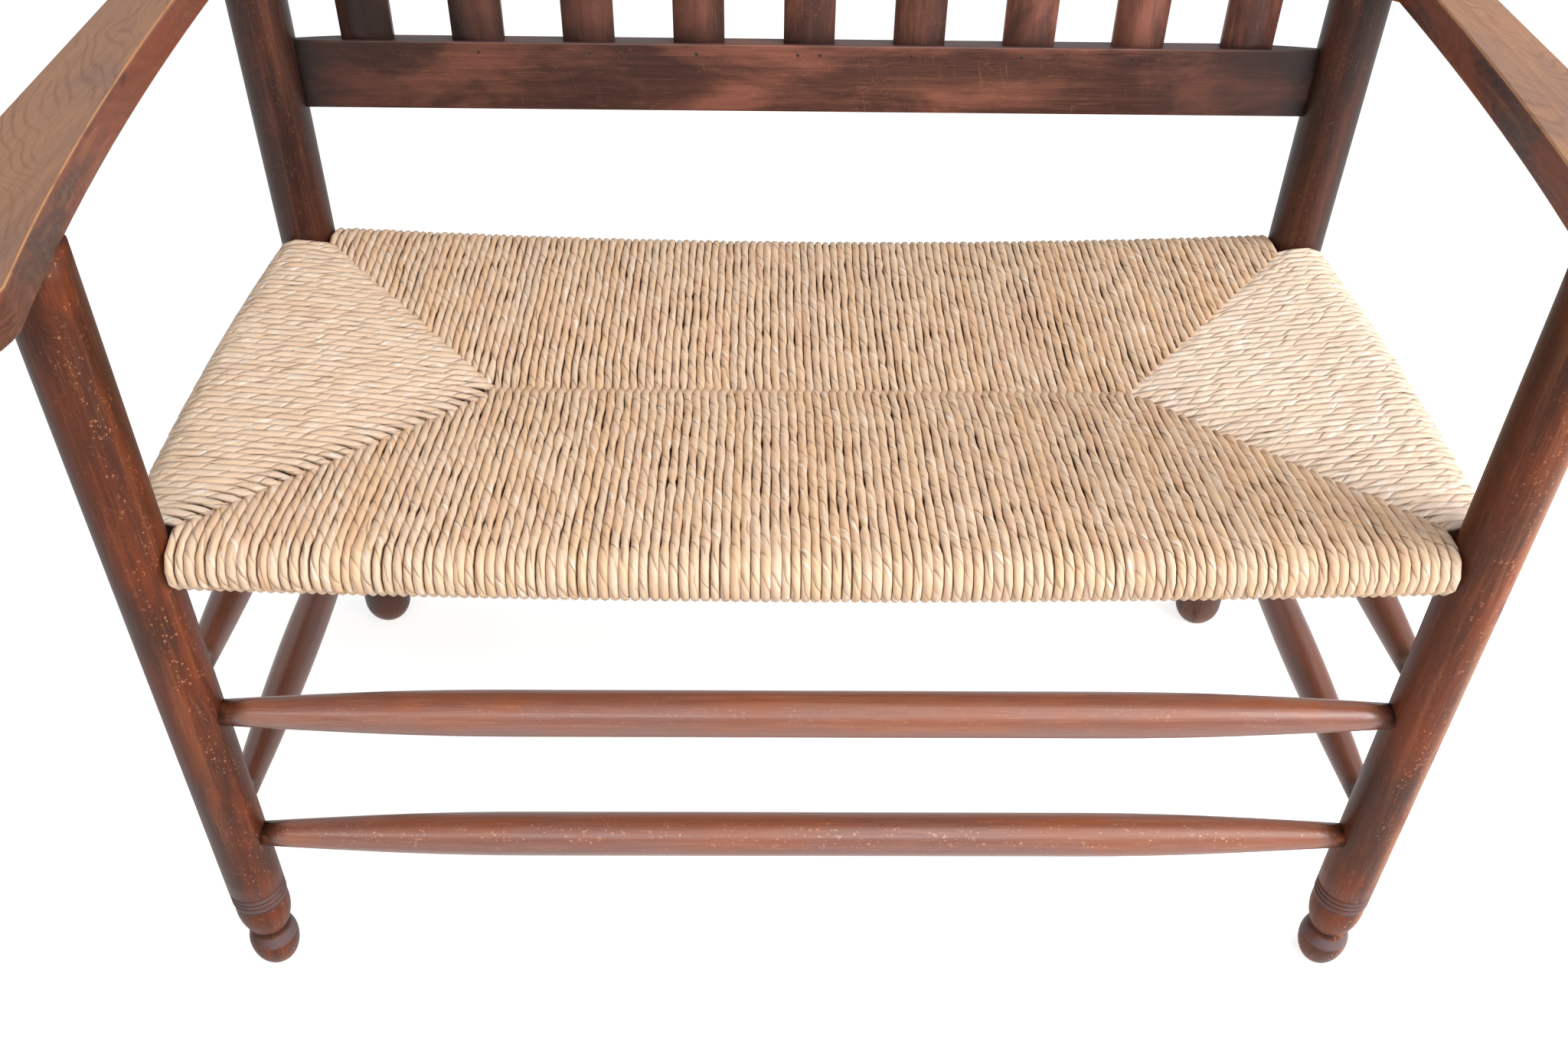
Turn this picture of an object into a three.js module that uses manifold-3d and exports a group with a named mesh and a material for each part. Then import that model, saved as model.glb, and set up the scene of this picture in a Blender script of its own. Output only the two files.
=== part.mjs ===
// A two-seat settle with turned legs, a woven rush seat, flat arms and a slatted back.
// Millimetres, +Z up, front towards -Y, standing on z = 0 with the origin under its middle.
// "left" and "right" are as seen by someone who stands in front of it.
import * as THREE from 'three';
import { mergeVertices } from 'three/addons/utils/BufferGeometryUtils.js';
import Module from 'manifold-3d';

const wasm = await Module();
wasm.setup();

// Plan of the frame, between the axes of the round uprights. Each post stands inset from its leg.
const LEG_SPACING = 900;
const POST_INSET = 12;
const FRAME_DEPTH = 424;

// Uprights
const LEG_DIAMETER = 44;
const POST_DIAMETER = 47;
const BACK_HEIGHT = 1092;

// Turned foot of a front leg, and the finial that repeats it on a post
const FOOT_PAD_DIAMETER = 18;
const FOOT_BALL_DIAMETER = 40;
const FOOT_BALL_WIDEST = 28;
const FOOT_BALL_HEIGHT = 46;
const FOOT_NECK_DIAMETER = 28;
const FOOT_BULB_DIAMETER = 43;
const FOOT_BULB_HEIGHT = 40;
const RING_BAND_HEIGHT = 16;
const RING_DEPTH = 1.4;
const FINIAL_TIP_DIAMETER = 12;
const POST_TOE_HEIGHT = 24;
const POST_PAD_DIAMETER = 22;

// Round joints: the thin end of a bar in a blind socket
const TENON_DIAMETER = 19.5;
const TENON_DEPTH = 10;
const CLEARANCE = 0.3;

// Turned stretchers
const FRONT_STRETCHER_DIAMETER = 34.5;
const SIDE_STRETCHER_DIAMETER = 33;
const FRONT_TAPER_LENGTH = 210;
const FRONT_UPPER_HEIGHT = 306;
const FRONT_LOWER_HEIGHT = 165;
const SIDE_UPPER_HEIGHT = 328;
const SIDE_LOWER_HEIGHT = 182;
const REAR_STRETCHER_HEIGHT = 240;

// Seat rails and the rush cord wound over them
const SEAT_RAIL_DIAMETER = 26;
const FRONT_RAIL_HEIGHT = 455;
const REAR_RAIL_HEIGHT = 449;
const SIDE_RAIL_HEIGHT = 452;
const FRONT_RAIL_SAG = 10;
const REAR_RAIL_SAG = 12;
const SIDE_RAIL_BOW = 8;
const CORD_DIAMETER = 6.5;
const CORD_RELIEF = 2;
const SEAM_GROOVE = 3;
const SEAM_TOP_HEIGHT = 448;
const SEAM_THICKNESS = 16;

// Arms
const ARM_HEIGHT = 718;
const ARM_THICKNESS = 28;
const ARM_EDGE_ROUND = 4;
const ARM_FRONT_OVERHANG = 128;
const ARM_FRONT_WIDTH = 81;
const ARM_REAR_WIDTH = 45;
const ARM_OUTER_OFFSET = 49;
const ARM_REAR_OVERHANG = 6;
const ARM_INNER_BOW = 3;
const ARM_NOSE_LENGTH = 41;
const ARM_TAIL_ROUND = 12;
const ARM_HOOK_WIDTH = 12;
const ARM_HOOK_LENGTH = 10;

// Back rails and slats
const BACK_RAIL_THICKNESS = 15;
const BACK_RAIL_END_THICKNESS = 7;
const BACK_RAIL_TAPER_LENGTH = 82;
const LOWER_RAIL_WIDTH = 57;
const LOWER_RAIL_HEIGHT = 582;
const UPPER_RAIL_WIDTH = 64;
const FINIAL_RISE = 110;
const SLAT_WIDTH = 41;
const SLAT_THICKNESS = 8;
const SLAT_PITCH = 89;
const SLAT_TENON_DEPTH = 12;

// Counts
const SLAT_COUNT = 9;
const RING_COUNT = 3;
const CORNER_CORD_COUNT = 26;
const MIDDLE_CORD_COUNT = 75;
const UPRIGHT_SIDES = 16;
const STRETCHER_SIDES = 12;
const SEAT_RAIL_SIDES = 10;
const SOCKET_SIDES = 12;
const ARC_STEPS = 4;
const BEND_STEPS = 5;
const RAIL_STEPS = 4;

// Proportions
const ARM_BOW_SHARE = 1 / 4;
const SWELL_SHARES = [0, 1 / 3, 2 / 3, 1];
const WRAP_SHARES = [0, 1 / 3, 2 / 3, 1];
const MERGE_SHARE = 1e-7;

// Places worked out from the sizes above
const LEG_RADIUS = LEG_DIAMETER / 2;
const POST_RADIUS = POST_DIAMETER / 2;
const ARM_UNDERSIDE = ARM_HEIGHT - ARM_THICKNESS;
const UPPER_RAIL_HEIGHT = BACK_HEIGHT - FINIAL_RISE - UPPER_RAIL_WIDTH;
const DEPTH_MIDDLE = (FRAME_DEPTH + POST_RADIUS - ARM_FRONT_OVERHANG) / 2;
const LEG_Y = -DEPTH_MIDDLE;
const POST_Y = FRAME_DEPTH - DEPTH_MIDDLE;
const LEG_X = LEG_SPACING / 2;
const POST_X = LEG_X - POST_INSET;
const RUSH_RADIUS = SEAT_RAIL_DIAMETER / 2 + CORD_DIAMETER;

const { lerp } = THREE.MathUtils;
const bench = new THREE.Group();

// Materials

function wood(color, roughness) {
  return new THREE.MeshStandardMaterial({ color, roughness, metalness: 0 });
}

const finish = {
  leg: () => wood(0x6b3b27, 0.42),
  post: () => wood(0x3f211a, 0.45),
  stretcher: () => wood(0x74402a, 0.4),
  arm: () => wood(0x7a5745, 0.5),
  back: () => wood(0x3a2422, 0.5),
  rail: () => wood(0x8a6748, 0.7),
  rush: () => wood(0xcfb08c, 0.85),
};

// Solids: closed meshes to and from the boolean library

function weld(geometry) {
  geometry.deleteAttribute('normal');
  geometry.deleteAttribute('uv');
  return mergeVertices(geometry, MERGE_SHARE * LEG_SPACING);
}

function toSolid(geometry) {
  const welded = weld(geometry);
  const vertProperties = new Float32Array(welded.attributes.position.array);
  const triVerts = new Uint32Array(welded.index.array);
  return new wasm.Manifold(new wasm.Mesh({ numProp: 3, vertProperties, triVerts }));
}

function toGeometry(solid) {
  const mesh = solid.getMesh();
  const geometry = new THREE.BufferGeometry();
  const places = new Float32Array(mesh.vertProperties);
  geometry.setAttribute('position', new THREE.BufferAttribute(places, 3));
  geometry.setIndex([...mesh.triVerts]);
  geometry.computeVertexNormals();
  return geometry;
}

function cut(geometry, tools) {
  return tools.reduce((solid, tool) => solid.subtract(toSolid(tool)), toSolid(geometry));
}

function place(name, geometry, material, x = 0, y = 0, z = 0) {
  const mesh = new THREE.Mesh(geometry, material);
  mesh.name = name;
  mesh.position.set(x, y, z);
  bench.add(mesh);
}

// Turning: a profile of [radius, height] pairs spun about an upright axis

function turn(profile, sides) {
  const points = profile.map(([radius, height]) => new THREE.Vector2(radius, height));
  const geometry = new THREE.LatheGeometry(points, sides);
  return geometry.rotateX(Math.PI / 2);
}

// Part of an oval between two radii, bulging to its full radius on the way
function bulge(full, fromRadius, toRadius, fromHeight, toHeight, steps) {
  const start = -Math.acos(fromRadius / full);
  const end = Math.acos(toRadius / full);
  const span = Math.sin(end) - Math.sin(start);
  return Array.from({ length: steps + 1 }, (_, step) => {
    const angle = lerp(start, end, step / steps);
    const rise = (Math.sin(angle) - Math.sin(start)) / span;
    return [full * Math.cos(angle), lerp(fromHeight, toHeight, rise)];
  });
}

// Ball, neck, bulb and three rings, from the tip at 0 up to the plain shaft
function turnedEnd(tipDiameter, shaftRadius) {
  const neck = FOOT_NECK_DIAMETER / 2;
  const bulbTop = FOOT_BALL_HEIGHT + FOOT_BULB_HEIGHT;
  const groove = shaftRadius - RING_DEPTH;
  const bulbRadius = Math.max(FOOT_BULB_DIAMETER / 2, groove);
  const ball = FOOT_BALL_DIAMETER / 2;
  const underBall = bulge(ball, tipDiameter / 2, ball, 0, FOOT_BALL_WIDEST, ARC_STEPS / 2);
  const overBall = bulge(ball, ball, neck, FOOT_BALL_WIDEST, FOOT_BALL_HEIGHT, ARC_STEPS / 2);
  const bulb = bulge(bulbRadius, neck, groove, FOOT_BALL_HEIGHT, bulbTop, ARC_STEPS);
  const pitch = RING_BAND_HEIGHT / RING_COUNT;
  const rings = Array.from({ length: RING_COUNT }, (_, ring) => [
    [shaftRadius, bulbTop + pitch * ring + pitch / 2],
    [groove, bulbTop + pitch * (ring + 1)],
  ]).flat();
  const shaft = [shaftRadius, bulbTop + RING_BAND_HEIGHT + RING_DEPTH];
  return [...underBall, ...overBall.slice(1), ...bulb.slice(1), ...rings, shaft];
}

// Corner radius of a many-sided hole whose flats stay a clearance away from what is in it
function clearanceRadius(diameter, sides) {
  return (diameter / 2 + CLEARANCE) / Math.cos(Math.PI / sides);
}

function clearanceCylinder(diameter, length, sides) {
  const radius = clearanceRadius(diameter, sides);
  return new THREE.CylinderGeometry(radius, radius, length, sides);
}

// Cuts the socket for a bar that leaves an upright on its way to another one
function socket(uprightRadius, height, here, there) {
  const inner = uprightRadius - TENON_DEPTH - CLEARANCE;
  const outer = uprightRadius + TENON_DEPTH;
  const tool = clearanceCylinder(TENON_DIAMETER, outer - inner, SOCKET_SIDES);
  tool.translate(0, (outer + inner) / 2, 0);
  tool.rotateZ(-Math.atan2(there.x - here.x, there.y - here.y));
  return tool.translate(0, 0, height);
}

// Uprights

const corner = {
  leg: (side) => new THREE.Vector2(side * LEG_X, LEG_Y),
  post: (side) => new THREE.Vector2(side * POST_X, POST_Y),
};

const sideHeights = [SIDE_LOWER_HEIGHT, SIDE_UPPER_HEIGHT, SIDE_RAIL_HEIGHT];

function frontLeg(side) {
  const here = corner.leg(side);
  const frontHeights = [FRONT_LOWER_HEIGHT, FRONT_UPPER_HEIGHT, FRONT_RAIL_HEIGHT];
  const shoulder = ARM_UNDERSIDE - CLEARANCE;
  const tenon = TENON_DIAMETER / 2;
  const profile = [
    [0, 0],
    ...turnedEnd(FOOT_PAD_DIAMETER, LEG_RADIUS),
    [LEG_RADIUS, shoulder],
    [tenon, shoulder],
    [tenon, shoulder + TENON_DEPTH],
    [0, shoulder + TENON_DEPTH],
  ];
  const sockets = [
    ...frontHeights.map((height) => socket(LEG_RADIUS, height, here, corner.leg(-side))),
    ...sideHeights.map((height) => socket(LEG_RADIUS, height, here, corner.post(side))),
  ];
  return toGeometry(cut(turn(profile, UPRIGHT_SIDES), sockets));
}

// A slot through the inner face of a post for the thin end of a back rail
function railMortise(side, bottom, width) {
  const thickness = BACK_RAIL_END_THICKNESS + 2 * CLEARANCE;
  const reach = 2 * TENON_DEPTH + CLEARANCE;
  const tool = new THREE.BoxGeometry(reach, thickness, width + 2 * CLEARANCE);
  const inner = POST_RADIUS - TENON_DEPTH - CLEARANCE;
  return tool.translate(-side * (inner + reach / 2), 0, bottom + width / 2);
}

function backPost(side) {
  const here = corner.post(side);
  const rearHeights = [REAR_STRETCHER_HEIGHT, REAR_RAIL_HEIGHT];
  const toe = bulge(POST_RADIUS, POST_PAD_DIAMETER / 2, POST_RADIUS, 0, POST_TOE_HEIGHT, ARC_STEPS);
  const finial = turnedEnd(FINIAL_TIP_DIAMETER, POST_RADIUS);
  const profile = [
    [0, 0],
    ...toe,
    ...finial.map(([radius, height]) => [radius, BACK_HEIGHT - height]).reverse(),
    [0, BACK_HEIGHT],
  ];
  const tools = [
    ...rearHeights.map((height) => socket(POST_RADIUS, height, here, corner.post(-side))),
    ...sideHeights.map((height) => socket(POST_RADIUS, height, here, corner.leg(side))),
    railMortise(side, LOWER_RAIL_HEIGHT, LOWER_RAIL_WIDTH),
    railMortise(side, UPPER_RAIL_HEIGHT, UPPER_RAIL_WIDTH),
  ];
  return toGeometry(cut(turn(profile, UPRIGHT_SIDES), tools));
}

function addUprights() {
  for (const [side, word] of [[-1, 'left'], [1, 'right']]) {
    place(`front_leg_${word}`, frontLeg(side), finish.leg(), side * LEG_X, LEG_Y);
    place(`back_post_${word}`, backPost(side), finish.post(), side * POST_X, POST_Y);
  }
}

// Rails and stretchers: turned pieces that lie between two uprights

// Half of a stretcher's profile: a tenon that swells to the full thickness
function taperedHalf(clearHalf, diameter, taperLength) {
  const tenon = TENON_DIAMETER / 2;
  const tip = -clearHalf - TENON_DEPTH;
  const taper = SWELL_SHARES.map((share) => {
    const swell = Math.sin((Math.PI / 2) * share);
    return [lerp(tenon, diameter / 2, swell), -clearHalf + taperLength * share];
  });
  return [[0, tip], [tenon, tip], ...taper];
}

function mirrored(half) {
  const otherHalf = half.map(([radius, along]) => [radius, -along]).reverse();
  const meets = otherHalf[0][1] === half.at(-1)[1];
  return [...half, ...otherHalf.slice(meets ? 1 : 0)];
}

function bar(half, from, to, height, sides) {
  const middle = from.clone().add(to).divideScalar(2);
  const heading = Math.atan2(to.y - from.y, to.x - from.x);
  const geometry = turn(mirrored(half), sides);
  geometry.rotateY(Math.PI / 2);
  geometry.rotateZ(heading);
  return geometry.translate(middle.x, middle.y, height);
}

const FRONT_CLEAR_HALF = LEG_X - LEG_RADIUS;
const REAR_CLEAR_HALF = POST_X - POST_RADIUS;

// The free stretch between two uprights, from face to face
function clearSpan(fromAxis, fromRadius, toAxis, toRadius) {
  const heading = toAxis.clone().sub(fromAxis).normalize();
  const from = fromAxis.clone().addScaledVector(heading, fromRadius);
  const to = toAxis.clone().addScaledVector(heading, -toRadius);
  return { from, to, clearHalf: from.distanceTo(to) / 2 };
}

const sideSpan = (side) => clearSpan(corner.leg(side), LEG_RADIUS, corner.post(side), POST_RADIUS);

function addStretcher(name, half, from, to, height) {
  place(name, bar(half, from, to, height, STRETCHER_SIDES), finish.stretcher());
}

function addStretchers() {
  const front = taperedHalf(FRONT_CLEAR_HALF, FRONT_STRETCHER_DIAMETER, FRONT_TAPER_LENGTH);
  addStretcher('front_stretcher_upper', front, corner.leg(-1), corner.leg(1), FRONT_UPPER_HEIGHT);
  addStretcher('front_stretcher_lower', front, corner.leg(-1), corner.leg(1), FRONT_LOWER_HEIGHT);
  const rear = taperedHalf(REAR_CLEAR_HALF, SIDE_STRETCHER_DIAMETER, FRONT_TAPER_LENGTH);
  addStretcher('rear_stretcher', rear, corner.post(-1), corner.post(1), REAR_STRETCHER_HEIGHT);
  for (const [side, word] of [[-1, 'left'], [1, 'right']]) {
    const { from, to, clearHalf } = sideSpan(side);
    const half = taperedHalf(clearHalf, SIDE_STRETCHER_DIAMETER, clearHalf);
    addStretcher(`${word}_stretcher_upper`, half, from, to, SIDE_UPPER_HEIGHT);
    addStretcher(`${word}_stretcher_lower`, half, from, to, SIDE_LOWER_HEIGHT);
  }
}

// How far a bent line is off its chord at a share of its way, for the most that it is off
const offChord = (most, share) => 4 * most * share * (1 - share);

// The axis of a seat rail, from one upright's axis to the other's. It sags, and it bows sideways.
class RailLine extends THREE.Curve {
  constructor({ from, to, height, sag, bow }) {
    super();
    Object.assign(this, { from, to, height, sag, bow });
  }

  getPoint(share) {
    const x = lerp(this.from.x, this.to.x, share) + offChord(this.bow, share);
    const y = lerp(this.from.y, this.to.y, share);
    return new THREE.Vector3(x, y, this.height - offChord(this.sag, share));
  }
}

const sideRail = (side) => ({
  from: corner.leg(side),
  to: corner.post(side),
  height: SIDE_RAIL_HEIGHT,
  sag: 0,
  bow: side * SIDE_RAIL_BOW,
  span: clearSpan(corner.leg(side), LEG_RADIUS, corner.post(side), POST_RADIUS),
});

const crossRail = (upright, radius, height, sag) => ({
  from: upright(-1),
  to: upright(1),
  height,
  sag,
  bow: 0,
  span: clearSpan(upright(-1), radius, upright(1), radius),
});

const seatRails = {
  front: crossRail(corner.leg, LEG_RADIUS, FRONT_RAIL_HEIGHT, FRONT_RAIL_SAG),
  rear: crossRail(corner.post, POST_RADIUS, REAR_RAIL_HEIGHT, REAR_RAIL_SAG),
  left: sideRail(-1),
  right: sideRail(1),
};

// A round section carried along a rail's line
function sweptRail(rail, radius) {
  const section = new THREE.Shape().absarc(0, 0, radius, 0, 2 * Math.PI);
  return new THREE.ExtrudeGeometry(section, {
    steps: RAIL_STEPS,
    curveSegments: SEAT_RAIL_SIDES / 2,
    extrudePath: new RailLine(rail),
  });
}

// A block or bar that lies level along a rail's free stretch
function alongSpan(geometry, { span: { from, to }, height }) {
  const middle = from.clone().add(to).divideScalar(2);
  geometry.rotateZ(Math.atan2(to.y - from.y, to.x - from.x));
  return geometry.translate(middle.x, middle.y, height);
}

function seatRail(rail) {
  const { clearHalf } = rail.span;
  const reach = SEAT_RAIL_DIAMETER + rail.sag + Math.abs(rail.bow);
  const between = new THREE.BoxGeometry(2 * (clearHalf - CLEARANCE), 2 * reach, 2 * reach);
  const whole = toSolid(sweptRail(rail, SEAT_RAIL_DIAMETER / 2));
  const shouldered = whole.intersect(toSolid(alongSpan(between, rail)));
  const radius = TENON_DIAMETER / 2;
  return [-1, 1].reduce((solid, end) => {
    const tenon = new THREE.CylinderGeometry(radius, radius, 2 * TENON_DEPTH, SEAT_RAIL_SIDES);
    tenon.rotateZ(Math.PI / 2).translate(end * clearHalf, 0, 0);
    return solid.add(toSolid(alongSpan(tenon, rail)));
  }, shouldered);
}

function addSeatRails() {
  Object.entries(seatRails).forEach(([name, rail]) => {
    place(`${name}_seat_rail`, toGeometry(seatRail(rail)), finish.rail());
  });
}

// Rush seat: cords run from each rail to mitred seams, over and under the rails.
// A half step of 0 is the valley beside the first cord, 1 its crest, 2 the next valley.

const CORNER_STEPS = 2 * CORNER_CORD_COUNT;
const MIDDLE_STEPS = 2 * MIDDLE_CORD_COUNT;
const LONG_STEPS = CORNER_STEPS + MIDDLE_STEPS + CORNER_STEPS;

// Inner corners of the seat, where the cords meet the uprights, and the ends of the middle seam.
// Each has the heights of the rush above and below it.
function seatCorner(side, atBack) {
  const upright = atBack ? corner.post(side) : corner.leg(side);
  const reach = (atBack ? POST_RADIUS : LEG_RADIUS) + CLEARANCE;
  const railHeight = (SIDE_RAIL_HEIGHT + (atBack ? REAR_RAIL_HEIGHT : FRONT_RAIL_HEIGHT)) / 2;
  return {
    x: upright.x - side * reach,
    y: upright.y + (atBack ? -reach : reach),
    top: railHeight + RUSH_RADIUS - SEAM_GROOVE,
    bottom: railHeight - RUSH_RADIUS,
  };
}

function seamEnd(side) {
  const front = seatCorner(side, false);
  const back = seatCorner(side, true);
  return {
    x: (((front.x + back.x) / 2) * MIDDLE_STEPS) / LONG_STEPS,
    y: (front.y + back.y) / 2,
    top: SEAM_TOP_HEIGHT,
    bottom: SEAM_TOP_HEIGHT - SEAM_THICKNESS,
  };
}

function seam(from, to, steps) {
  return Array.from({ length: steps + 1 }, (_, step) => {
    const between = (key) => lerp(from[key], to[key], step / steps);
    return { x: between('x'), y: between('y'), top: between('top'), bottom: between('bottom') };
  });
}

const diagonalSeam = (side, atBack) => seam(seatCorner(side, atBack), seamEnd(side), CORNER_STEPS);

const middleSeam = () => seam(seamEnd(-1), seamEnd(1), MIDDLE_STEPS);

// Stations of one cord line: seam on top, round the rail, seam underneath
function cordLine(seamPoint, rail, outward, step) {
  const valley = step % 2 === 0 ? CORD_RELIEF : 0;
  const radius = RUSH_RADIUS - valley;
  const wrap = WRAP_SHARES.map((share) => {
    const angle = Math.PI * share;
    const reach = radius * Math.sin(angle);
    const height = rail.z + radius * Math.cos(angle);
    return new THREE.Vector3(rail.x + outward.x * reach, rail.y + outward.y * reach, height);
  });
  const { x, y, top, bottom } = seamPoint;
  return [new THREE.Vector3(x, y, top - valley), ...wrap, new THREE.Vector3(x, y, bottom + valley)];
}

function addQuad(triangles, a, b, c, d) {
  triangles.push(a, b, c, a, c, d);
}

// Skin of a panel, and the two flat ends where it stops beside the uprights
function skinPanel(triangles, lines) {
  for (let step = 0; step + 1 < lines.length; step += 1) {
    const here = lines[step];
    const next = lines[step + 1];
    for (let station = 0; station + 1 < here.length; station += 1) {
      addQuad(triangles, here[station], here[station + 1], next[station + 1], next[station]);
    }
  }
  const first = lines[0];
  const last = lines.at(-1);
  for (let station = 1; station + 1 < first.length; station += 1) {
    triangles.push(first[0], first[station + 1], first[station]);
    triangles.push(last[0], last[station], last[station + 1]);
  }
}

// The share of a rail's way, from axis to axis, at which a point lies beside it
function shareBeside({ from, to }, point) {
  const axis = Math.abs(to.x - from.x) > Math.abs(to.y - from.y) ? 'x' : 'y';
  return (point[axis] - from[axis]) / (to[axis] - from[axis]);
}

// All the lines of a panel, from the first of its seam points to the last
function panelLines(rail, outward, seamPoints) {
  const line = new RailLine(rail);
  const first = shareBeside(rail, seamPoints[0]);
  const last = shareBeside(rail, seamPoints.at(-1));
  const total = seamPoints.length - 1;
  return seamPoints.map((point, step) => (
    cordLine(point, line.getPoint(lerp(first, last, step / total)), outward, step)
  ));
}

// Front, rear, right and left panels. Each one's seam points run so that its faces point out.
function rushPanels() {
  const middle = middleSeam().slice(1, -1);
  const turned = (points) => [...points].reverse();
  const frontSeam = [...diagonalSeam(-1, false), ...middle, ...turned(diagonalSeam(1, false))];
  const rearSeam = [...diagonalSeam(1, true), ...turned(middle), ...turned(diagonalSeam(-1, true))];
  const rightSeam = [...diagonalSeam(1, false), ...turned(diagonalSeam(1, true)).slice(1)];
  const leftSeam = [...diagonalSeam(-1, true), ...turned(diagonalSeam(-1, false)).slice(1)];
  return [
    panelLines(seatRails.front, { x: 0, y: -1 }, frontSeam),
    panelLines(seatRails.rear, { x: 0, y: 1 }, rearSeam),
    panelLines(seatRails.right, { x: 1, y: 0 }, rightSeam),
    panelLines(seatRails.left, { x: -1, y: 0 }, leftSeam),
  ];
}

function rushSeat() {
  const triangles = [];
  rushPanels().forEach((lines) => skinPanel(triangles, lines));
  const geometry = new THREE.BufferGeometry().setFromPoints(triangles);
  const tunnelRadius = clearanceRadius(SEAT_RAIL_DIAMETER, SEAT_RAIL_SIDES);
  const tunnels = Object.values(seatRails).map((rail) => sweptRail(rail, tunnelRadius));
  return toGeometry(cut(geometry, tunnels));
}

// Arms: flat boards, wide and rounded in front, narrower where they reach the posts

function armOutline(side) {
  const outer = side * (LEG_X + ARM_OUTER_OFFSET);
  const inward = (width) => outer - side * width;
  const front = LEG_Y - ARM_FRONT_OVERHANG;
  const noseEnd = front + ARM_NOSE_LENGTH;
  const rear = POST_Y + ARM_REAR_OVERHANG;
  const hookFront = POST_Y - POST_RADIUS;
  const hook = inward(ARM_REAR_WIDTH + ARM_HOOK_WIDTH);
  const bowY = LEG_Y + FRAME_DEPTH * ARM_BOW_SHARE;
  const shape = new THREE.Shape();
  shape.moveTo(outer, noseEnd);
  shape.lineTo(outer, rear - ARM_TAIL_ROUND);
  shape.quadraticCurveTo(outer, rear, inward(ARM_TAIL_ROUND), rear);
  shape.lineTo(hook, rear);
  shape.lineTo(hook, hookFront);
  shape.lineTo(inward(ARM_REAR_WIDTH), hookFront - ARM_HOOK_LENGTH);
  shape.quadraticCurveTo(inward(ARM_REAR_WIDTH + ARM_INNER_BOW), bowY, inward(ARM_FRONT_WIDTH), noseEnd);
  shape.quadraticCurveTo(inward(ARM_FRONT_WIDTH), front, inward(ARM_FRONT_WIDTH / 2), front);
  shape.quadraticCurveTo(outer, front, outer, noseEnd);
  return shape;
}

// An upright cutter for what stands in an arm or beside it
function uprightCut(diameter, length, place2d, sides) {
  const tool = clearanceCylinder(diameter, length, sides);
  return tool.rotateX(Math.PI / 2).translate(place2d.x, place2d.y, ARM_UNDERSIDE);
}

function arm(side) {
  const round = ARM_EDGE_ROUND;
  const geometry = new THREE.ExtrudeGeometry(armOutline(side), {
    depth: ARM_THICKNESS - 2 * round,
    bevelThickness: round,
    bevelSize: round,
    bevelOffset: -round,
    bevelSegments: 2,
    curveSegments: BEND_STEPS,
  });
  geometry.translate(0, 0, ARM_UNDERSIDE + round);
  const socketLength = 2 * (TENON_DEPTH + CLEARANCE);
  return toGeometry(cut(geometry, [
    uprightCut(POST_DIAMETER, 4 * ARM_THICKNESS, corner.post(side), UPRIGHT_SIDES),
    uprightCut(TENON_DIAMETER, socketLength, corner.leg(side), SOCKET_SIDES),
  ]));
}

function addArms() {
  place('arm_left', arm(-1), finish.arm());
  place('arm_right', arm(1), finish.arm());
}

// Back: two rails let into the posts, with flat slats let into the rails

const RAIL_FRONT_Y = -BACK_RAIL_END_THICKNESS / 2;
const SLAT_Y = RAIL_FRONT_Y + BACK_RAIL_THICKNESS / 2;

function backRail(width, slatsAbove) {
  const tip = REAR_CLEAR_HALF + TENON_DEPTH;
  const thinAt = REAR_CLEAR_HALF;
  const bendAt = REAR_CLEAR_HALF - BACK_RAIL_TAPER_LENGTH / 2;
  const fullAt = REAR_CLEAR_HALF - BACK_RAIL_TAPER_LENGTH;
  const thin = RAIL_FRONT_Y + BACK_RAIL_END_THICKNESS;
  const full = RAIL_FRONT_Y + BACK_RAIL_THICKNESS;
  const shape = new THREE.Shape();
  shape.moveTo(-tip, RAIL_FRONT_Y);
  shape.lineTo(tip, RAIL_FRONT_Y);
  shape.lineTo(tip, thin);
  shape.lineTo(thinAt, thin);
  shape.quadraticCurveTo(bendAt, full, fullAt, full);
  shape.lineTo(-fullAt, full);
  shape.quadraticCurveTo(-bendAt, full, -thinAt, thin);
  shape.lineTo(-tip, thin);
  const steps = { curveSegments: BEND_STEPS, bevelEnabled: false };
  const geometry = new THREE.ExtrudeGeometry(shape, { depth: width, ...steps });
  const mortises = slatPlaces().map((x) => {
    const depth = 2 * (SLAT_TENON_DEPTH + CLEARANCE);
    const tool = new THREE.BoxGeometry(SLAT_WIDTH + 2 * CLEARANCE, SLAT_THICKNESS + 2 * CLEARANCE, depth);
    return tool.translate(x, SLAT_Y, slatsAbove ? width : 0);
  });
  return toGeometry(cut(geometry, mortises));
}

function slatPlaces() {
  return Array.from({ length: SLAT_COUNT }, (_, slat) => (slat - (SLAT_COUNT - 1) / 2) * SLAT_PITCH);
}

function addBack() {
  place('lower_back_rail', backRail(LOWER_RAIL_WIDTH, true), finish.back(), 0, POST_Y, LOWER_RAIL_HEIGHT);
  place('upper_back_rail', backRail(UPPER_RAIL_WIDTH, false), finish.back(), 0, POST_Y, UPPER_RAIL_HEIGHT);
  const bottom = LOWER_RAIL_HEIGHT + LOWER_RAIL_WIDTH - SLAT_TENON_DEPTH;
  const top = UPPER_RAIL_HEIGHT + SLAT_TENON_DEPTH;
  slatPlaces().forEach((x, slat) => {
    const board = new THREE.BoxGeometry(SLAT_WIDTH, SLAT_THICKNESS, top - bottom);
    place(`slat_${slat + 1}`, board, finish.back(), x, POST_Y + SLAT_Y, (top + bottom) / 2);
  });
}

addUprights();
addStretchers();
addSeatRails();
place('rush_seat', rushSeat(), finish.rush());
addArms();
addBack();

export default bench;
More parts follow.
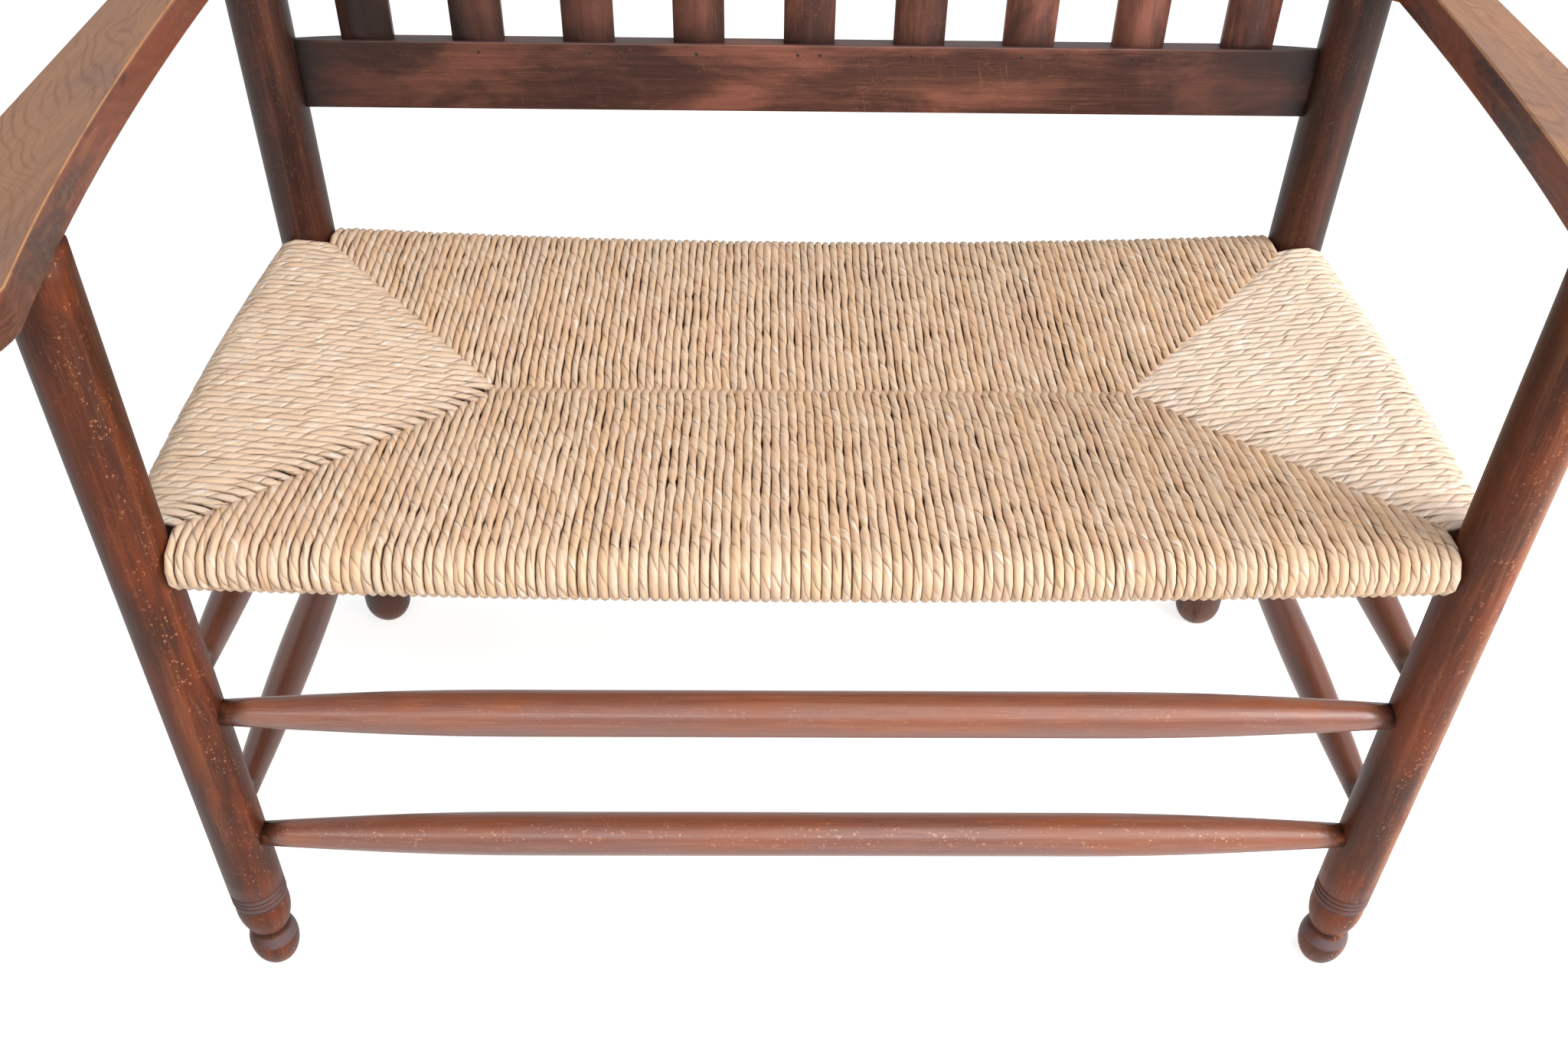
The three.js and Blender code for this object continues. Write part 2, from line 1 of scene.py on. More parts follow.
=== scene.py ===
"""The looks of a rush seat settee, laid out as an add-on: each operator builds one group of pieces.

Metres, +Z up, front towards -Y. Left and right are as seen from the front.
"""
import collections
import random
from math import acos, asin, ceil, cos, dist, pi, radians, sin

import bmesh
import bpy
from mathutils import Matrix, Vector, noise


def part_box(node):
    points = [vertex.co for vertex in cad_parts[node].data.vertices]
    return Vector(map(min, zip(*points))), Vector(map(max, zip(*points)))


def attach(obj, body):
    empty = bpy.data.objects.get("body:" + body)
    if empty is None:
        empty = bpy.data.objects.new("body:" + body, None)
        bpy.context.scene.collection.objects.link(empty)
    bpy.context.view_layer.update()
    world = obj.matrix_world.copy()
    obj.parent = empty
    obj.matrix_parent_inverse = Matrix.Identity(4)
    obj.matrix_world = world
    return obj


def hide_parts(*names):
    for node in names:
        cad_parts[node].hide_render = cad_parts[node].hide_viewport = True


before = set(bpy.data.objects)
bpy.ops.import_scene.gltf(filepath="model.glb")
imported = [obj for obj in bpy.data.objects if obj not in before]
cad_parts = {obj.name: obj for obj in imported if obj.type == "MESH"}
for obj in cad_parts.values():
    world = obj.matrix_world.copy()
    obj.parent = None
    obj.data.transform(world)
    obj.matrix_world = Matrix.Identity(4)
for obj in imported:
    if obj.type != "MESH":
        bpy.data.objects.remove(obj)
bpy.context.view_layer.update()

bl_info = {
    "name": "Rush seat settee",
    "version": (1, 0, 0),
    "blender": (4, 5, 0),
    "location": "View3D > Sidebar > Settee",
    "description": "Turned frame, woven rush seat, flat arms and slatted back of a settee",
    "category": "Add Mesh",
}

BODY = "root"
SIDES = ((-1, "left"), (1, "right"))
UP = Vector((0, 0, 1))
MM = 0.001


# Settings

def amount(name, description, default, **kind):
    """A number in the panel"""
    return bpy.props.FloatProperty(name=name, description=description, default=default, **kind)


def triple(name, description, default, **kind):
    """Three numbers in the panel"""
    return bpy.props.FloatVectorProperty(
        name=name, description=description, default=default, size=3, **kind)


def length(name, description, millimetres):
    """A size, kept in metres"""
    return amount(name, description, millimetres * MM, min=0, unit="LENGTH", precision=4)


def share(name, description, default):
    """A part of a whole, from none to all"""
    return amount(name, description, default, min=0, max=1, subtype="FACTOR")


def power(name, description, watts):
    """How strong a lamp is"""
    return amount(name, description, watts, min=0, unit="POWER")


def linear(level):
    """Brightness of a screen level from 0 to 255"""
    level /= 255
    return level / 12.92 if level <= 0.04045 else ((level + 0.055) / 1.055) ** 2.4


def tint(name, description, *levels):
    """A colour, given by the screen levels of its red, green and blue"""
    colour = [linear(level) for level in levels]
    return triple(name, description, colour, min=0, max=1, subtype="COLOR")


class TurningSizes(bpy.types.PropertyGroup):
    """Sizes of the turned legs, posts and stretchers"""
    pad: length("Foot pad", "Width of the flat under a front foot", 18)
    ball: length("Ball", "Thickness of the ball foot", 40)
    ball_widest: length("Ball widest at", "Height at which the ball foot is thickest", 28)
    ball_height: length("Ball height", "Height of the neck above the ball foot", 46)
    neck: length("Neck", "Thickness of the neck between ball and bulb", 28)
    bulb: length("Bulb", "Thickness of the bulb above the ball", 43)
    bulb_height: length("Bulb height", "From the neck to the lowest ring", 40)
    band: length("Ring band", "Height of all three rings together", 16)
    groove: length("Groove depth", "Depth of the grooves between the rings", 1.4)
    tip: length("Finial tip", "Width of the flat on top of a finial", 12)
    toe_height: length("Toe height", "Height of the rounded end of a post", 24)
    toe_pad: length("Toe pad", "Width of the flat under a post", 22)
    tenon: length("Tenon", "Thickness of a stretcher where it enters an upright", 19.5)
    taper: length("Taper", "Length over which a long stretcher swells", 210)


class SeatSizes(bpy.types.PropertyGroup):
    """Sizes of the woven seat"""
    front_height: length("Front rail height", "Height of the front rail's axis at the legs", 455)
    rear_height: length("Rear rail height", "Height of the rear rail's axis at the posts", 449)
    side_height: length("Side rail height", "Height of the side rails' axes", 452)
    front_sag: length("Front sag", "How far the front rail has sunk in its middle", 10)
    rear_sag: length("Rear sag", "How far the rear rail has sunk in its middle", 12)
    side_bow: length("Side bow", "How far the side rails bow outwards in their middle", 8)
    rail: length("Rail", "Thickness of the seat rails", 26)
    cord: length("Cord", "Thickness of the twisted rush", 6.5)
    clearance: length("Clearance", "Gap between the rush and an upright", 0.3)
    groove: length("Seam groove", "How deep the seams lie below the cords at the corners", 3)
    seam_top: length("Seam height", "Height of the middle seam", 448)
    seam_thickness: length("Seam thickness", "Thickness of the seat at the middle seam", 16)
    crown: length("Crown", "How far the stuffing lifts the cords between rail and seam", 1.6)
    wander: length("Wander", "How far a cord strays from its straight line", 0.75)
    station: length("Station", "Distance between the rings of a cord's mesh", 10.5)
    swell: share("Swell", "How much a cord's thickness varies", 0.5)
    overlap: share("Overlap", "How much wider than its room beside its neighbours a cord is", 0.07)


class BoardSizes(bpy.types.PropertyGroup):
    """Sizes of the arms, back rails and slats"""
    arm_front_width: length("Arm width", "Width of an arm in front", 81)
    arm_rear_width: length("Arm rear width", "Width of an arm just in front of the post", 45)
    arm_bow: length("Arm bow", "How far the inner edge draws in", 3)
    arm_nose: length("Arm nose", "Length of the rounded front end", 41)
    arm_tail: length("Arm tail", "Rounding of the rear outer corner", 12)
    arm_hook_width: length("Hook width", "How far the arm reaches round the post", 12)
    arm_hook_length: length("Hook length", "Length of the slanted part in front of the hook", 10)
    arm_round: length("Arm edges", "Rounding of the arm's edges", 2.5)
    rail_end: length("Rail end", "Thickness of the back rails at the posts", 7)
    rail_taper: length("Rail taper", "Length of a back rail's thinning end", 82)
    arris: length("Arris", "Rounding of the worn edges of rails and slats", 1.6)
    brad: length("Brad", "Width of the brads' heads", 2.8)
    brad_drop: length("Brad drop", "From the lower back rail's top down to the brads", 8)


class WoodTints(bpy.types.PropertyGroup):
    """Colours of the woods"""
    # Each wood's dark tint is also laid on as painted shade, and the legs' and posts' rubbed tints
    # also as painted light
    leg_dark: tint("Leg, dark", "Old varnish in the hollows of the legs", 46, 23, 16)
    leg_body: tint("Leg", "Reddish chestnut of the legs", 122, 57, 28)
    leg_shade: tint("Leg, brown", "Browner streaks of the legs", 80, 40, 23)
    leg_light: tint("Leg, rubbed", "Rubbed and flecked places of the legs", 200, 130, 92)
    post_dark: tint("Post, dark", "Nearly black varnish of the posts", 32, 17, 14)
    post_body: tint("Post", "Dark reddish brown of the posts", 84, 42, 28)
    post_shade: tint("Post, brown", "Browner streaks of the posts", 54, 30, 23)
    post_light: tint("Post, rubbed", "Rubbed places of the posts", 146, 96, 74)
    stretcher_dark: tint("Stretcher, dark", "Dark streaks of the stretchers", 92, 48, 34)
    stretcher_body: tint("Stretcher", "Copper brown of the stretchers", 150, 82, 50)
    stretcher_shade: tint("Stretcher, brown", "Browner streaks of the stretchers", 138, 84, 68)
    stretcher_light: tint("Stretcher, rubbed", "Pale flecks of the stretchers", 216, 162, 130)
    arm_dark: tint("Arm, dark", "Grain lines of the arms", 100, 68, 52)
    arm_body: tint("Arm", "Walnut brown of the arms", 166, 122, 93)
    arm_shade: tint("Arm, grey", "Greyer bands of the arms", 144, 107, 88)
    arm_light: tint("Arm, rubbed", "Golden worn edges of the arms", 204, 150, 104)
    # The sides are redder wood and also carry painted shade, which makes them darker than the tops
    flank: tint("Arm, side", "Reddish brown sides of the arms", 132, 70, 50)
    flank_dark: tint("Arm, side, dark", "Dark stains on the sides of the arms", 54, 31, 27)
    back_dark: tint("Back, dark", "Nearly black varnish of rails and slats", 34, 19, 16)
    back_body: tint("Back", "Dark brown of rails and slats", 148, 92, 76)
    back_shade: tint("Back, brown", "Browner patches of the back", 84, 51, 43)
    back_light: tint("Back, rubbed", "Scratched and worn places of the back", 184, 124, 98)
    raw: tint("Raw wood", "Unvarnished wood of the seat rails", 158, 122, 86)
    # Dirt at joints, and painted shade in the necks and grooves of turnings
    dirt_and_shade: tint("Dirt", "Grime in joints and grooves", 26, 17, 15)
    # Greyish haze, and painted sheen on the rings, the tops of the ball feet, and the top face and
    # right end of the back rails
    bloom: tint("Bloom", "Greyish bloom on the rings and the ball feet", 114, 92, 92)


class RushTints(bpy.types.PropertyGroup):
    """Colours of the rush"""
    straw: tint("Straw", "Most of the cords", 240, 211, 182)
    golden: tint("Golden", "Yellower leaves", 234, 192, 146)
    rosy: tint("Rosy", "Pinkish leaves", 226, 182, 152)
    grey: tint("Grey", "Greyish leaves", 214, 192, 170)
    pale: tint("Pale", "Flecks of pale skin", 252, 240, 226)
    # Painted shade in the folds of the cords and near their ends at the seams, and fine dark
    # threads
    crease_shade: tint("Crease", "Creases between twisted leaves", 164, 118, 86)
    # Painted shade between the cords
    depth: tint("Depth", "Gaps between the cords", 104, 66, 44)
    # The packing's colour, dark as the shade between the cords
    stuffing: tint("Stuffing", "What lies under the cords", 92, 60, 42)


class StageSettings(bpy.types.PropertyGroup):
    """Floor, light and camera"""
    floor: tint("Floor", "Colour of the floor", 238, 238, 238)
    sky: share("Sky", "Strength of the even light from all round", 0.22)
    ceiling_watts: power("Ceiling light", "Power of the large soft lamp overhead", 30)
    window_watts: power("Window light", "Power of the soft lamp on the right", 46)
    front_watts: power("Front light", "Power of the wide, low lamp behind the camera", 21)
    place: triple("Camera", "Where the camera stands", (-0.03691, -0.88898, 1.1084),
                  subtype="TRANSLATION", unit="LENGTH")
    heading: triple("Heading", "Direction in which the camera looks", (0.01589, 0.77, -0.65241),
                    subtype="DIRECTION")
    roll: amount("Roll", "How far the camera leans to its right", 0.01863, subtype="ANGLE")
    lens: amount("Lens", "Focal length for a film 36 mm wide", 33.583, unit="CAMERA")


def settings(group):
    """The scene's settings of one kind"""
    return getattr(bpy.context.scene, "settee_" + group)


# Materials

class Recipe:
    """The nodes of one material, added by short calls that hand sockets on"""

    def __init__(self, name, finish=None, world=None):
        self.holder = world or bpy.data.materials.new(name)
        self.holder.use_nodes = True
        self.tree = self.holder.node_tree
        self.shader = self.tree.nodes["Background" if world else "Principled BSDF"]
        self.fill(self.shader, finish or {})

    def fill(self, node, inputs):
        """Links or sets the inputs of a node"""
        for socket, value in inputs.items():
            if isinstance(value, bpy.types.NodeSocket):
                self.tree.links.new(value, node.inputs[socket])
            else:
                node.inputs[socket].default_value = value

    def node(self, kind, inputs, **choices):
        """Adds a node, with its choices set and its inputs filled"""
        node = self.tree.nodes.new("ShaderNode" + kind)
        for key, value in choices.items():
            setattr(node, key, value)
        self.fill(node, inputs)
        return node

    def place(self):
        """Where a point of the surface is in the settee"""
        return self.node("TexCoord", {}).outputs["Object"]

    def attribute(self, name, output="Fac"):
        """What the mesh says of a point"""
        return self.node("Attribute", {}, attribute_name=name).outputs[output]

    def parts(self, vector):
        """X, Y and Z of a place"""
        return self.node("SeparateXYZ", {0: vector}).outputs

    def stretched(self, vector, cycles):
        """Makes a pattern repeat so many times a metre, each way"""
        return self.node("Mapping", {"Vector": vector, "Scale": cycles}).outputs[0]

    def noise(self, vector, cycles, detail=3, roughness=0.5, distortion=0):
        """Clouds, or streaks where the cycles per metre differ"""
        inputs = {"Vector": self.stretched(vector, cycles), "Scale": 1, "Detail": detail,
                  "Roughness": roughness, "Distortion": distortion}
        return self.node("TexNoise", inputs).outputs["Fac"]

    def ramp(self, value, start, end, low=0, high=1):
        """Goes smoothly from low to high while the value goes from start to end"""
        inputs = {"Value": value, "From Min": start, "From Max": end, "To Min": low, "To Max": high}
        return self.node("MapRange", inputs, interpolation_type="SMOOTHSTEP").outputs["Result"]

    def maths(self, operation, first, *others):
        """The sum, product or the like of values"""
        for other in others:
            first = self.node("Math", {0: first, 1: other}, operation=operation).outputs[0]
        return first

    def times(self, *values):
        return self.maths("MULTIPLY", *values)

    def plus(self, *values):
        return self.maths("ADD", *values)

    def minus(self, *values):
        return self.maths("SUBTRACT", *values)

    def layered(self, colour, *layers):
        """Lays colours over a first one, each with its own strength"""
        for strength, over in layers:
            under, over = (value if isinstance(value, bpy.types.NodeSocket) else (*value, 1)
                           for value in (colour, over))
            colour = self.node("Mix", {0: strength, 6: under, 7: over}, data_type="RGBA").outputs[2]
        return colour

    def finish(self, colour, roughness, height, depth):
        """Hands colour, roughness and relief to the shader"""
        bump = self.node("Bump", {"Strength": 1, "Distance": depth, "Height": height})
        self.fill(self.shader, {"Base Color": colour, "Roughness": roughness,
                                "Normal": bump.outputs["Normal"]})
        return self.holder


# Growth rings per metre, how far they swirl and how dark they are; strength of dark streaks, pale
# flecks, scratches, wispy scratches and dark dents; roughness, strength of reflections, and depth
# of the grain in millimetres
Traits = collections.namedtuple(
    "Traits", "rings swirl figure streaks flecks scratches wisps dents rough shine depth")
WOODS = {
    "leg": Traits(70, 3, 0.15, 0.4, 0.8, 0.1, 0.12, 0.4, 0.42, 0.2, 0.04),
    "post": Traits(70, 3, 0.1, 0.5, 0.35, 0.4, 0.4, 0.4, 0.4, 0.3, 0.04),
    "stretcher": Traits(60, 2, 0.1, 0.2, 0.85, 0.08, 0.1, 0.5, 0.3, 0.8, 0.02),
    "arm": Traits(130, 15, 0.38, 0.25, 0, 0.15, 0.15, 0.3, 0.46, 0.3, 0.08),
    "back": Traits(60, 3, 0.15, 0.35, 0, 0.35, 0.3, 0.4, 0.42, 0.3, 0.05),
}

# Which way growth rings follow one another in a board or bar with its grain along each axis
ACROSS = {"X": (0, 0.45, 1), "Y": (0.75, 0.4, 0.5), "Z": (1, 0.45, 0)}

# Wispy scratches: the directions they take, as turns about an axis, and their cycles per metre
WISP_TURNS, WISP_AXIS, WISP_CYCLES = (0.5, -0.8, 1.9), (0.25, 1, 0.3), (15, 950, 950)

# How far the rim of a pale fleck is from its middle
FLECK_RIM = 0.26


def wood(kind, axis):
    """Old varnished wood with its grain along an axis"""
    name = f"{kind}_wood_{axis.lower()}"
    if name in bpy.data.materials:
        return bpy.data.materials[name]
    tints, trait = settings("wood"), WOODS[kind]
    dark, body, shade, light = (getattr(tints, f"{kind}_{level}")
                                for level in ("dark", "body", "shade", "light"))
    recipe = Recipe(name, {"Specular IOR Level": trait.shine})
    ramp, times, mark, place = recipe.ramp, recipe.times, recipe.attribute, recipe.place()

    def cycles(lengthwise, crosswise):
        return [lengthwise if letter == axis else crosswise for letter in "XYZ"]

    def grain(lengthwise, crosswise, detail=3, roughness=0.55, distortion=0):
        """Noise with so many cycles per metre along the grain and across it"""
        return recipe.noise(place, cycles(lengthwise, crosswise), detail, roughness, distortion)

    clouds = grain(7, 19, 5, 0.6, 0.5)
    streaks = grain(3, 95, 3, 0.6, 0.3)
    fibres = grain(30, 900, 3, 0.6)
    swirls = grain(6, 13, 2, 0.5, 0.6)

    across = [part * trait.rings for part in ACROSS[axis]]
    depth = recipe.node("VectorMath", {0: place, 1: across},
                        operation="DOT_PRODUCT").outputs["Value"]
    rings = recipe.maths("PINGPONG", recipe.plus(depth, times(swirls, trait.swirl)), 0.5)
    ring_lines = times(ramp(rings, 0.26, 0.04), ramp(grain(14, 30), 0.36, 0.62))

    dots = recipe.node("TexVoronoi", {"Vector": recipe.stretched(place, cycles(230, 330)),
                                      "Scale": 1}).outputs["Distance"]
    rims = recipe.maths("ABSOLUTE", recipe.minus(dots, FLECK_RIM), 0)
    spots = times(ramp(rims, 0.13, 0.05), ramp(grain(420, 420, 2), 0.5, 0.58),
                  ramp(grain(40, 90, 2), 0.42, 0.58), mark("flecked"))

    turned = [recipe.node("VectorRotate", {"Vector": place, "Axis": WISP_AXIS, "Angle": angle},
                          rotation_type="AXIS_ANGLE").outputs[0] for angle in WISP_TURNS]
    wisps = recipe.plus(*(ramp(recipe.noise(way, WISP_CYCLES, 1), 0.68, 0.75) for way in turned))
    wisps = times(wisps, ramp(grain(40, 40), 0.46, 0.6))
    strokes = times(ramp(grain(18, 480, 2, 0.6, 1.5), 0.61, 0.7), ramp(grain(30, 45, 2), 0.45, 0.6))
    dents = times(ramp(grain(75, 620, 2, 0.6), 0.62, 0.7), ramp(clouds, 0.5, 0.62))
    # Rubbed edges, and painted light on the toes of the posts and the right side of the right leg
    worn = times(ramp(mark("wear"), 0.25, 0.85), ramp(grain(25, 60), 0.3, 0.5))
    # Grime at joints, and painted shade in the necks and grooves of turnings
    grime = times(mark("grime"), ramp(grain(60, 60, 2), 0.25, 0.5))

    colour = recipe.layered(body, (ramp(clouds, 0.38, 0.6), shade))
    # Arms: redder sides, darker also as painted shade
    if kind == "arm":
        side = recipe.layered(tints.flank, (ramp(clouds, 0.44, 0.62), tints.flank_dark))
        colour = recipe.layered(colour, (mark("flank"), side))
    colour = recipe.layered(
        colour,
        (times(ramp(rings, 0.1, 0.45), trait.figure / 3), shade),
        (times(ramp(streaks, 0.48, 0.66), trait.streaks), dark),
        (times(ramp(streaks, 0.46, 0.32), 0.15), light),
        (ramp(fibres, 0.5, 0.24, 0, 0.35), dark),
        (ramp(fibres, 0.52, 0.78, 0, 0.2), light),
        (times(ring_lines, trait.figure), dark),
        (times(dents, trait.dents), dark),
        (times(spots, trait.flecks), light),
        (times(strokes, trait.scratches), light),
        (times(wisps, trait.wisps), light),
        (times(worn, 0.85), light),
        # Greyish haze, and painted sheen on rings, ball feet and the back rails
        (times(mark("bloom"), ramp(clouds, 0.3, 0.5)), tints.bloom),
        # Painted shade on the sides of turned pieces and on the back's left part, a darker top face
        # of the back rails for their sheen, and darker ends and bottoms of the back's pieces
        (times(mark("tone"), ramp(clouds, 0.25, 0.6, 0.75, 1)), dark),
        (grime, tints.dirt_and_shade))
    roughness = ramp(clouds, 0.3, 0.7, trait.rough + 0.1, trait.rough)
    relief = recipe.minus(fibres, times(recipe.plus(ring_lines, dents, strokes), 0.5))
    return recipe.finish(colour, roughness, relief, trait.depth * MM)


# Length of cord in which its leaves turn round once, and how many radians they stray from that
TWIST, TWIST_STRAY = 38 * MM, 14


def rush():
    """Twisted rush: leaves that turn round the cord, pale skins, and painted shade in the folds
    between the leaves, in the hollows between the cords and at their ends by the seams
    """
    tints = settings("rush")
    recipe = Recipe("rush_cord", {"Specular IOR Level": 0.25})
    ramp, times, mark = recipe.ramp, recipe.times, recipe.attribute
    place, tone, paler_and_lit = mark("cord_place", "Vector"), mark("cord_tone"), mark("cord_pale")
    parts = recipe.parts(place)

    def along(cycles):
        """Noise that changes only along the cord"""
        return recipe.noise(place, (cycles, 0, 0), 2)

    turn = recipe.plus(times(parts["X"], 2 * pi / TWIST), times(along(16), TWIST_STRAY))
    untwisted = recipe.node("VectorRotate", {"Vector": place, "Angle": turn},
                            rotation_type="X_AXIS").outputs[0]
    off_crease = recipe.maths("ABSOLUTE", recipe.parts(untwisted)["Y"], 0)
    strands = times(ramp(off_crease, 0, 2.6 * MM), ramp(along(24), 0.33, 0.55))
    # Painted shade in the folds between the leaves
    shaded_creases = times(ramp(off_crease, 0.7 * MM, 0.1 * MM), ramp(along(50), 0.4, 0.6))
    leaves = recipe.noise(untwisted, (22, 230, 230), 2)
    threads = recipe.noise(untwisted, (30, 1300, 1300), 3, 0.6)
    skins = recipe.plus(recipe.noise(untwisted, (55, 300, 300), 2), times(paler_and_lit, 0.03))
    # Painted shade on the lower half of each cord, where it sinks between its neighbours
    gap_shade = times(ramp(parts["Z"], 2.3 * MM, 0.2 * MM), ramp(along(38), 0.35, 0.62, 0.45))

    colour = recipe.layered(
        tints.straw,
        (ramp(tone, 0, 0.45, 0.5, 0), tints.golden),
        (ramp(tone, 0.75, 1, 0, 0.35), tints.grey),
        (ramp(along(11), 0.45, 0.65, 0, 0.55), tints.rosy),
        (ramp(leaves, 0.42, 0.65, 0, 0.5), tints.golden),
        (ramp(threads, 0.5, 0.28, 0, 0.2), tints.crease_shade),
        (ramp(skins, 0.61, 0.72, 0, 0.8), tints.pale),
        # Lighter leaves on the side panels, with painted light on the right one
        (times(paler_and_lit, 0.22), tints.pale),
        (times(shaded_creases, 0.5), tints.crease_shade),
        # Painted shade near each cord's end at the seams
        (times(mark("cord_tip"), 0.6), tints.crease_shade),
        (times(gap_shade, 0.75), tints.depth))
    relief = recipe.plus(times(strands, 0.45), times(leaves, 0.5))
    relief = recipe.minus(relief, times(shaded_creases, 0.4))
    return recipe.finish(colour, ramp(leaves, 0.3, 0.7, 0.62, 0.5), relief, 1.5 * MM)


def speckled(recipe, cycles, detail, span, under, over, rough, depth):
    """A finish whose colour, roughness and relief all follow one noise"""
    grains = recipe.noise(recipe.place(), cycles, detail, 0.6)
    colour = recipe.layered(under, (recipe.ramp(grains, *span), over))
    return recipe.finish(colour, recipe.ramp(grains, 0.3, 0.7, *rough), grains, depth * MM)


def packing_material():
    """Dull brown packing, coloured as the shade that shows between the cords"""
    tints = settings("rush")
    return speckled(Recipe("rush_stuffing"), (400, 400, 400), 3, (0.35, 0.7, 0, 0.5),
                    tints.stuffing, tints.depth, (0.85, 0.95), 0.5)


def raw_wood():
    """Plain unvarnished wood for the rails inside the rush"""
    tints = settings("wood")
    return speckled(Recipe("rail_wood_plain", {"Specular IOR Level": 0.3}), (60, 60, 300), 4,
                    (0.35, 0.65), tints.stretcher_dark, tints.raw, (0.6, 0.75), 0.2)


def brad_metal():
    """Dark, slightly rusted steel"""
    steel, rust = (0.022, 0.018, 0.017), (0.06, 0.03, 0.02)
    return speckled(Recipe("brad_steel", {"Metallic": 0.3}), (900, 900, 900), 3, (0.4, 0.65),
                    steel, rust, (0.35, 0.7), 0.1)


# Pieces

# What the mesh of a wooden piece says of each vertex: how worn it is, along with painted light; how
# dirty, along with painted shade; how hazy, along with painted sheen; how much darker, mostly as
# painted shade; how far it lies down a board's side, and how flecked it is
MARKS = ("wear", "grime", "bloom", "tone", "flank", "flecked")


def marks(bm, name):
    """The layer that holds a mark on every vertex"""
    layers = bm.verts.layers.float
    return layers.get(name) or layers.new(name)


def marked(bm, name, weight_at):
    """Marks every vertex by its place"""
    layer = marks(bm, name)
    for vert in bm.verts:
        vert[layer] = weight_at(vert.co)


def meshed(name, bm):
    """Ends the making of a mesh"""
    mesh = bpy.data.meshes.new(name)
    bm.to_mesh(mesh)
    bm.free()
    return mesh


def shown(name, mesh, material, nodes):
    """Puts a mesh in the scene as a piece"""
    mesh.materials.append(material)
    mesh.shade_smooth()
    thing = bpy.data.objects.new(name, mesh)
    bpy.context.scene.collection.objects.link(thing)
    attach(thing, BODY)
    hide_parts(*nodes)
    return thing


def wooden(name, bm, kind, axis, node):
    """Makes a wooden piece with its grain along an axis, in place of its solid"""
    for mark in MARKS:
        marks(bm, mark)
    return shown(name, meshed(name, bm), wood(kind, axis), [node])


def flat_faced(thing):
    """Keeps the flat faces of a board flat between its rounded edges"""
    modifier = thing.modifiers.new("even_faces", "WEIGHTED_NORMAL")
    modifier.weight = 100
    modifier.keep_sharp = True


def middle_of(node):
    """The middle of a node's box"""
    low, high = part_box(node)
    return (low + high) / 2


def axis_of(node):
    """Where the axis of an upright stands on the floor"""
    return middle_of(node).xy.to_3d()


def radius_of(node, axis=0):
    """Half a node's thickness along an axis"""
    low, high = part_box(node)
    return (high[axis] - low[axis]) / 2


def evenly(steps, first=0):
    """Even steps from 0, or from the first one after it, to 1"""
    return [step / steps for step in range(first, steps + 1)]


def near(value, place, reach):
    """1 at a place, falling to 0 at a reach from it"""
    return max(0.0, 1 - abs(value - place) / reach)


def subdivided(line, longest):
    """Adds points to the long straight stretches of a line, so marks can vary along them"""
    points = [line[0]]
    for start, end in zip(line, line[1:]):
        count = max(1, ceil(dist(start, end) / longest))
        points += [tuple(a + (b - a) * part for a, b in zip(start, end))
                   for part in evenly(count, 1)]
    return points


# Turned pieces: a profile of (radius, height) pairs spun round an upright axis

RINGS = 3

# Steps of each curve of a profile
BALL_STEPS, BULB_STEPS, RING_STEPS, TOE_STEPS, SWELL_STEPS = 7, 14, 6, 8, 9

# How far a stretcher goes into an upright
SUNK = 1.5 * MM

# Most that painted shade darkens a turned piece
DARKEST = 0.8


def bulge(full, start_radius, end_radius, start, end, steps):
    """Part of an oval between two radii, which reaches its full radius on the way"""
    first, last = -acos(start_radius / full), acos(end_radius / full)
    scale = (end - start) / (sin(last) - sin(first))
    angles = [first + (last - first) * part for part in evenly(steps)]
    return [(full * cos(angle), start + scale * (sin(angle) - sin(first))) for angle in angles]


def ring(radius, depth, start, pitch):
    """One rounded ring between two grooves"""
    return [(radius - depth * (1 - sin(pi * turn)) ** 1.5, start + pitch * turn)
            for turn in evenly(RING_STEPS, 1)]


def turned_end(tip, radius):
    """Ball, neck, bulb and three rings, from the tip at 0 up to the plain shaft"""
    size = settings("turning")
    ball, neck = size.ball / 2, size.neck / 2
    groove = radius - size.groove
    top = size.ball_height + size.bulb_height
    pitch = size.band / RINGS
    bulb = max(size.bulb / 2, groove)
    points = bulge(ball, tip / 2, ball, 0, size.ball_widest, BALL_STEPS)
    points += bulge(ball, ball, neck, size.ball_widest, size.ball_height, BALL_STEPS)[1:]
    points += bulge(bulb, neck, groove, size.ball_height, top, BULB_STEPS)[1:]
    for number in range(RINGS):
        points += ring(radius, size.groove, top + pitch * number, pitch)
    return points + [(radius, top + size.band + size.groove)]


def spun(profile, steps=40):
    """Spins a profile, whose ends lie on the axis, into a closed solid"""
    bm = bmesh.new()
    verts = [bm.verts.new((radius, 0, height)) for radius, height in profile]
    edges = [bm.edges.new(pair) for pair in zip(verts, verts[1:])]
    bmesh.ops.spin(bm, geom=verts + edges, cent=(0, 0, 0), axis=(0, 0, 1), angle=2 * pi,
                   steps=steps, use_merge=True)
    bmesh.ops.remove_doubles(bm, verts=bm.verts, dist=0.01 * MM)
    bmesh.ops.recalc_face_normals(bm, faces=bm.faces)
    return bm


def marked_round(bm, name, middle, heading, facing, weight_of):
    """Marks a turned piece by how each place is turned: 1 where it faces, -1 behind"""
    facing = Vector(facing).normalized()

    def weight(place):
        out = place - middle
        out -= heading * out.dot(heading)
        return weight_of(out.normalized().dot(facing) if out.length > MM else 1)

    marked(bm, name, weight)


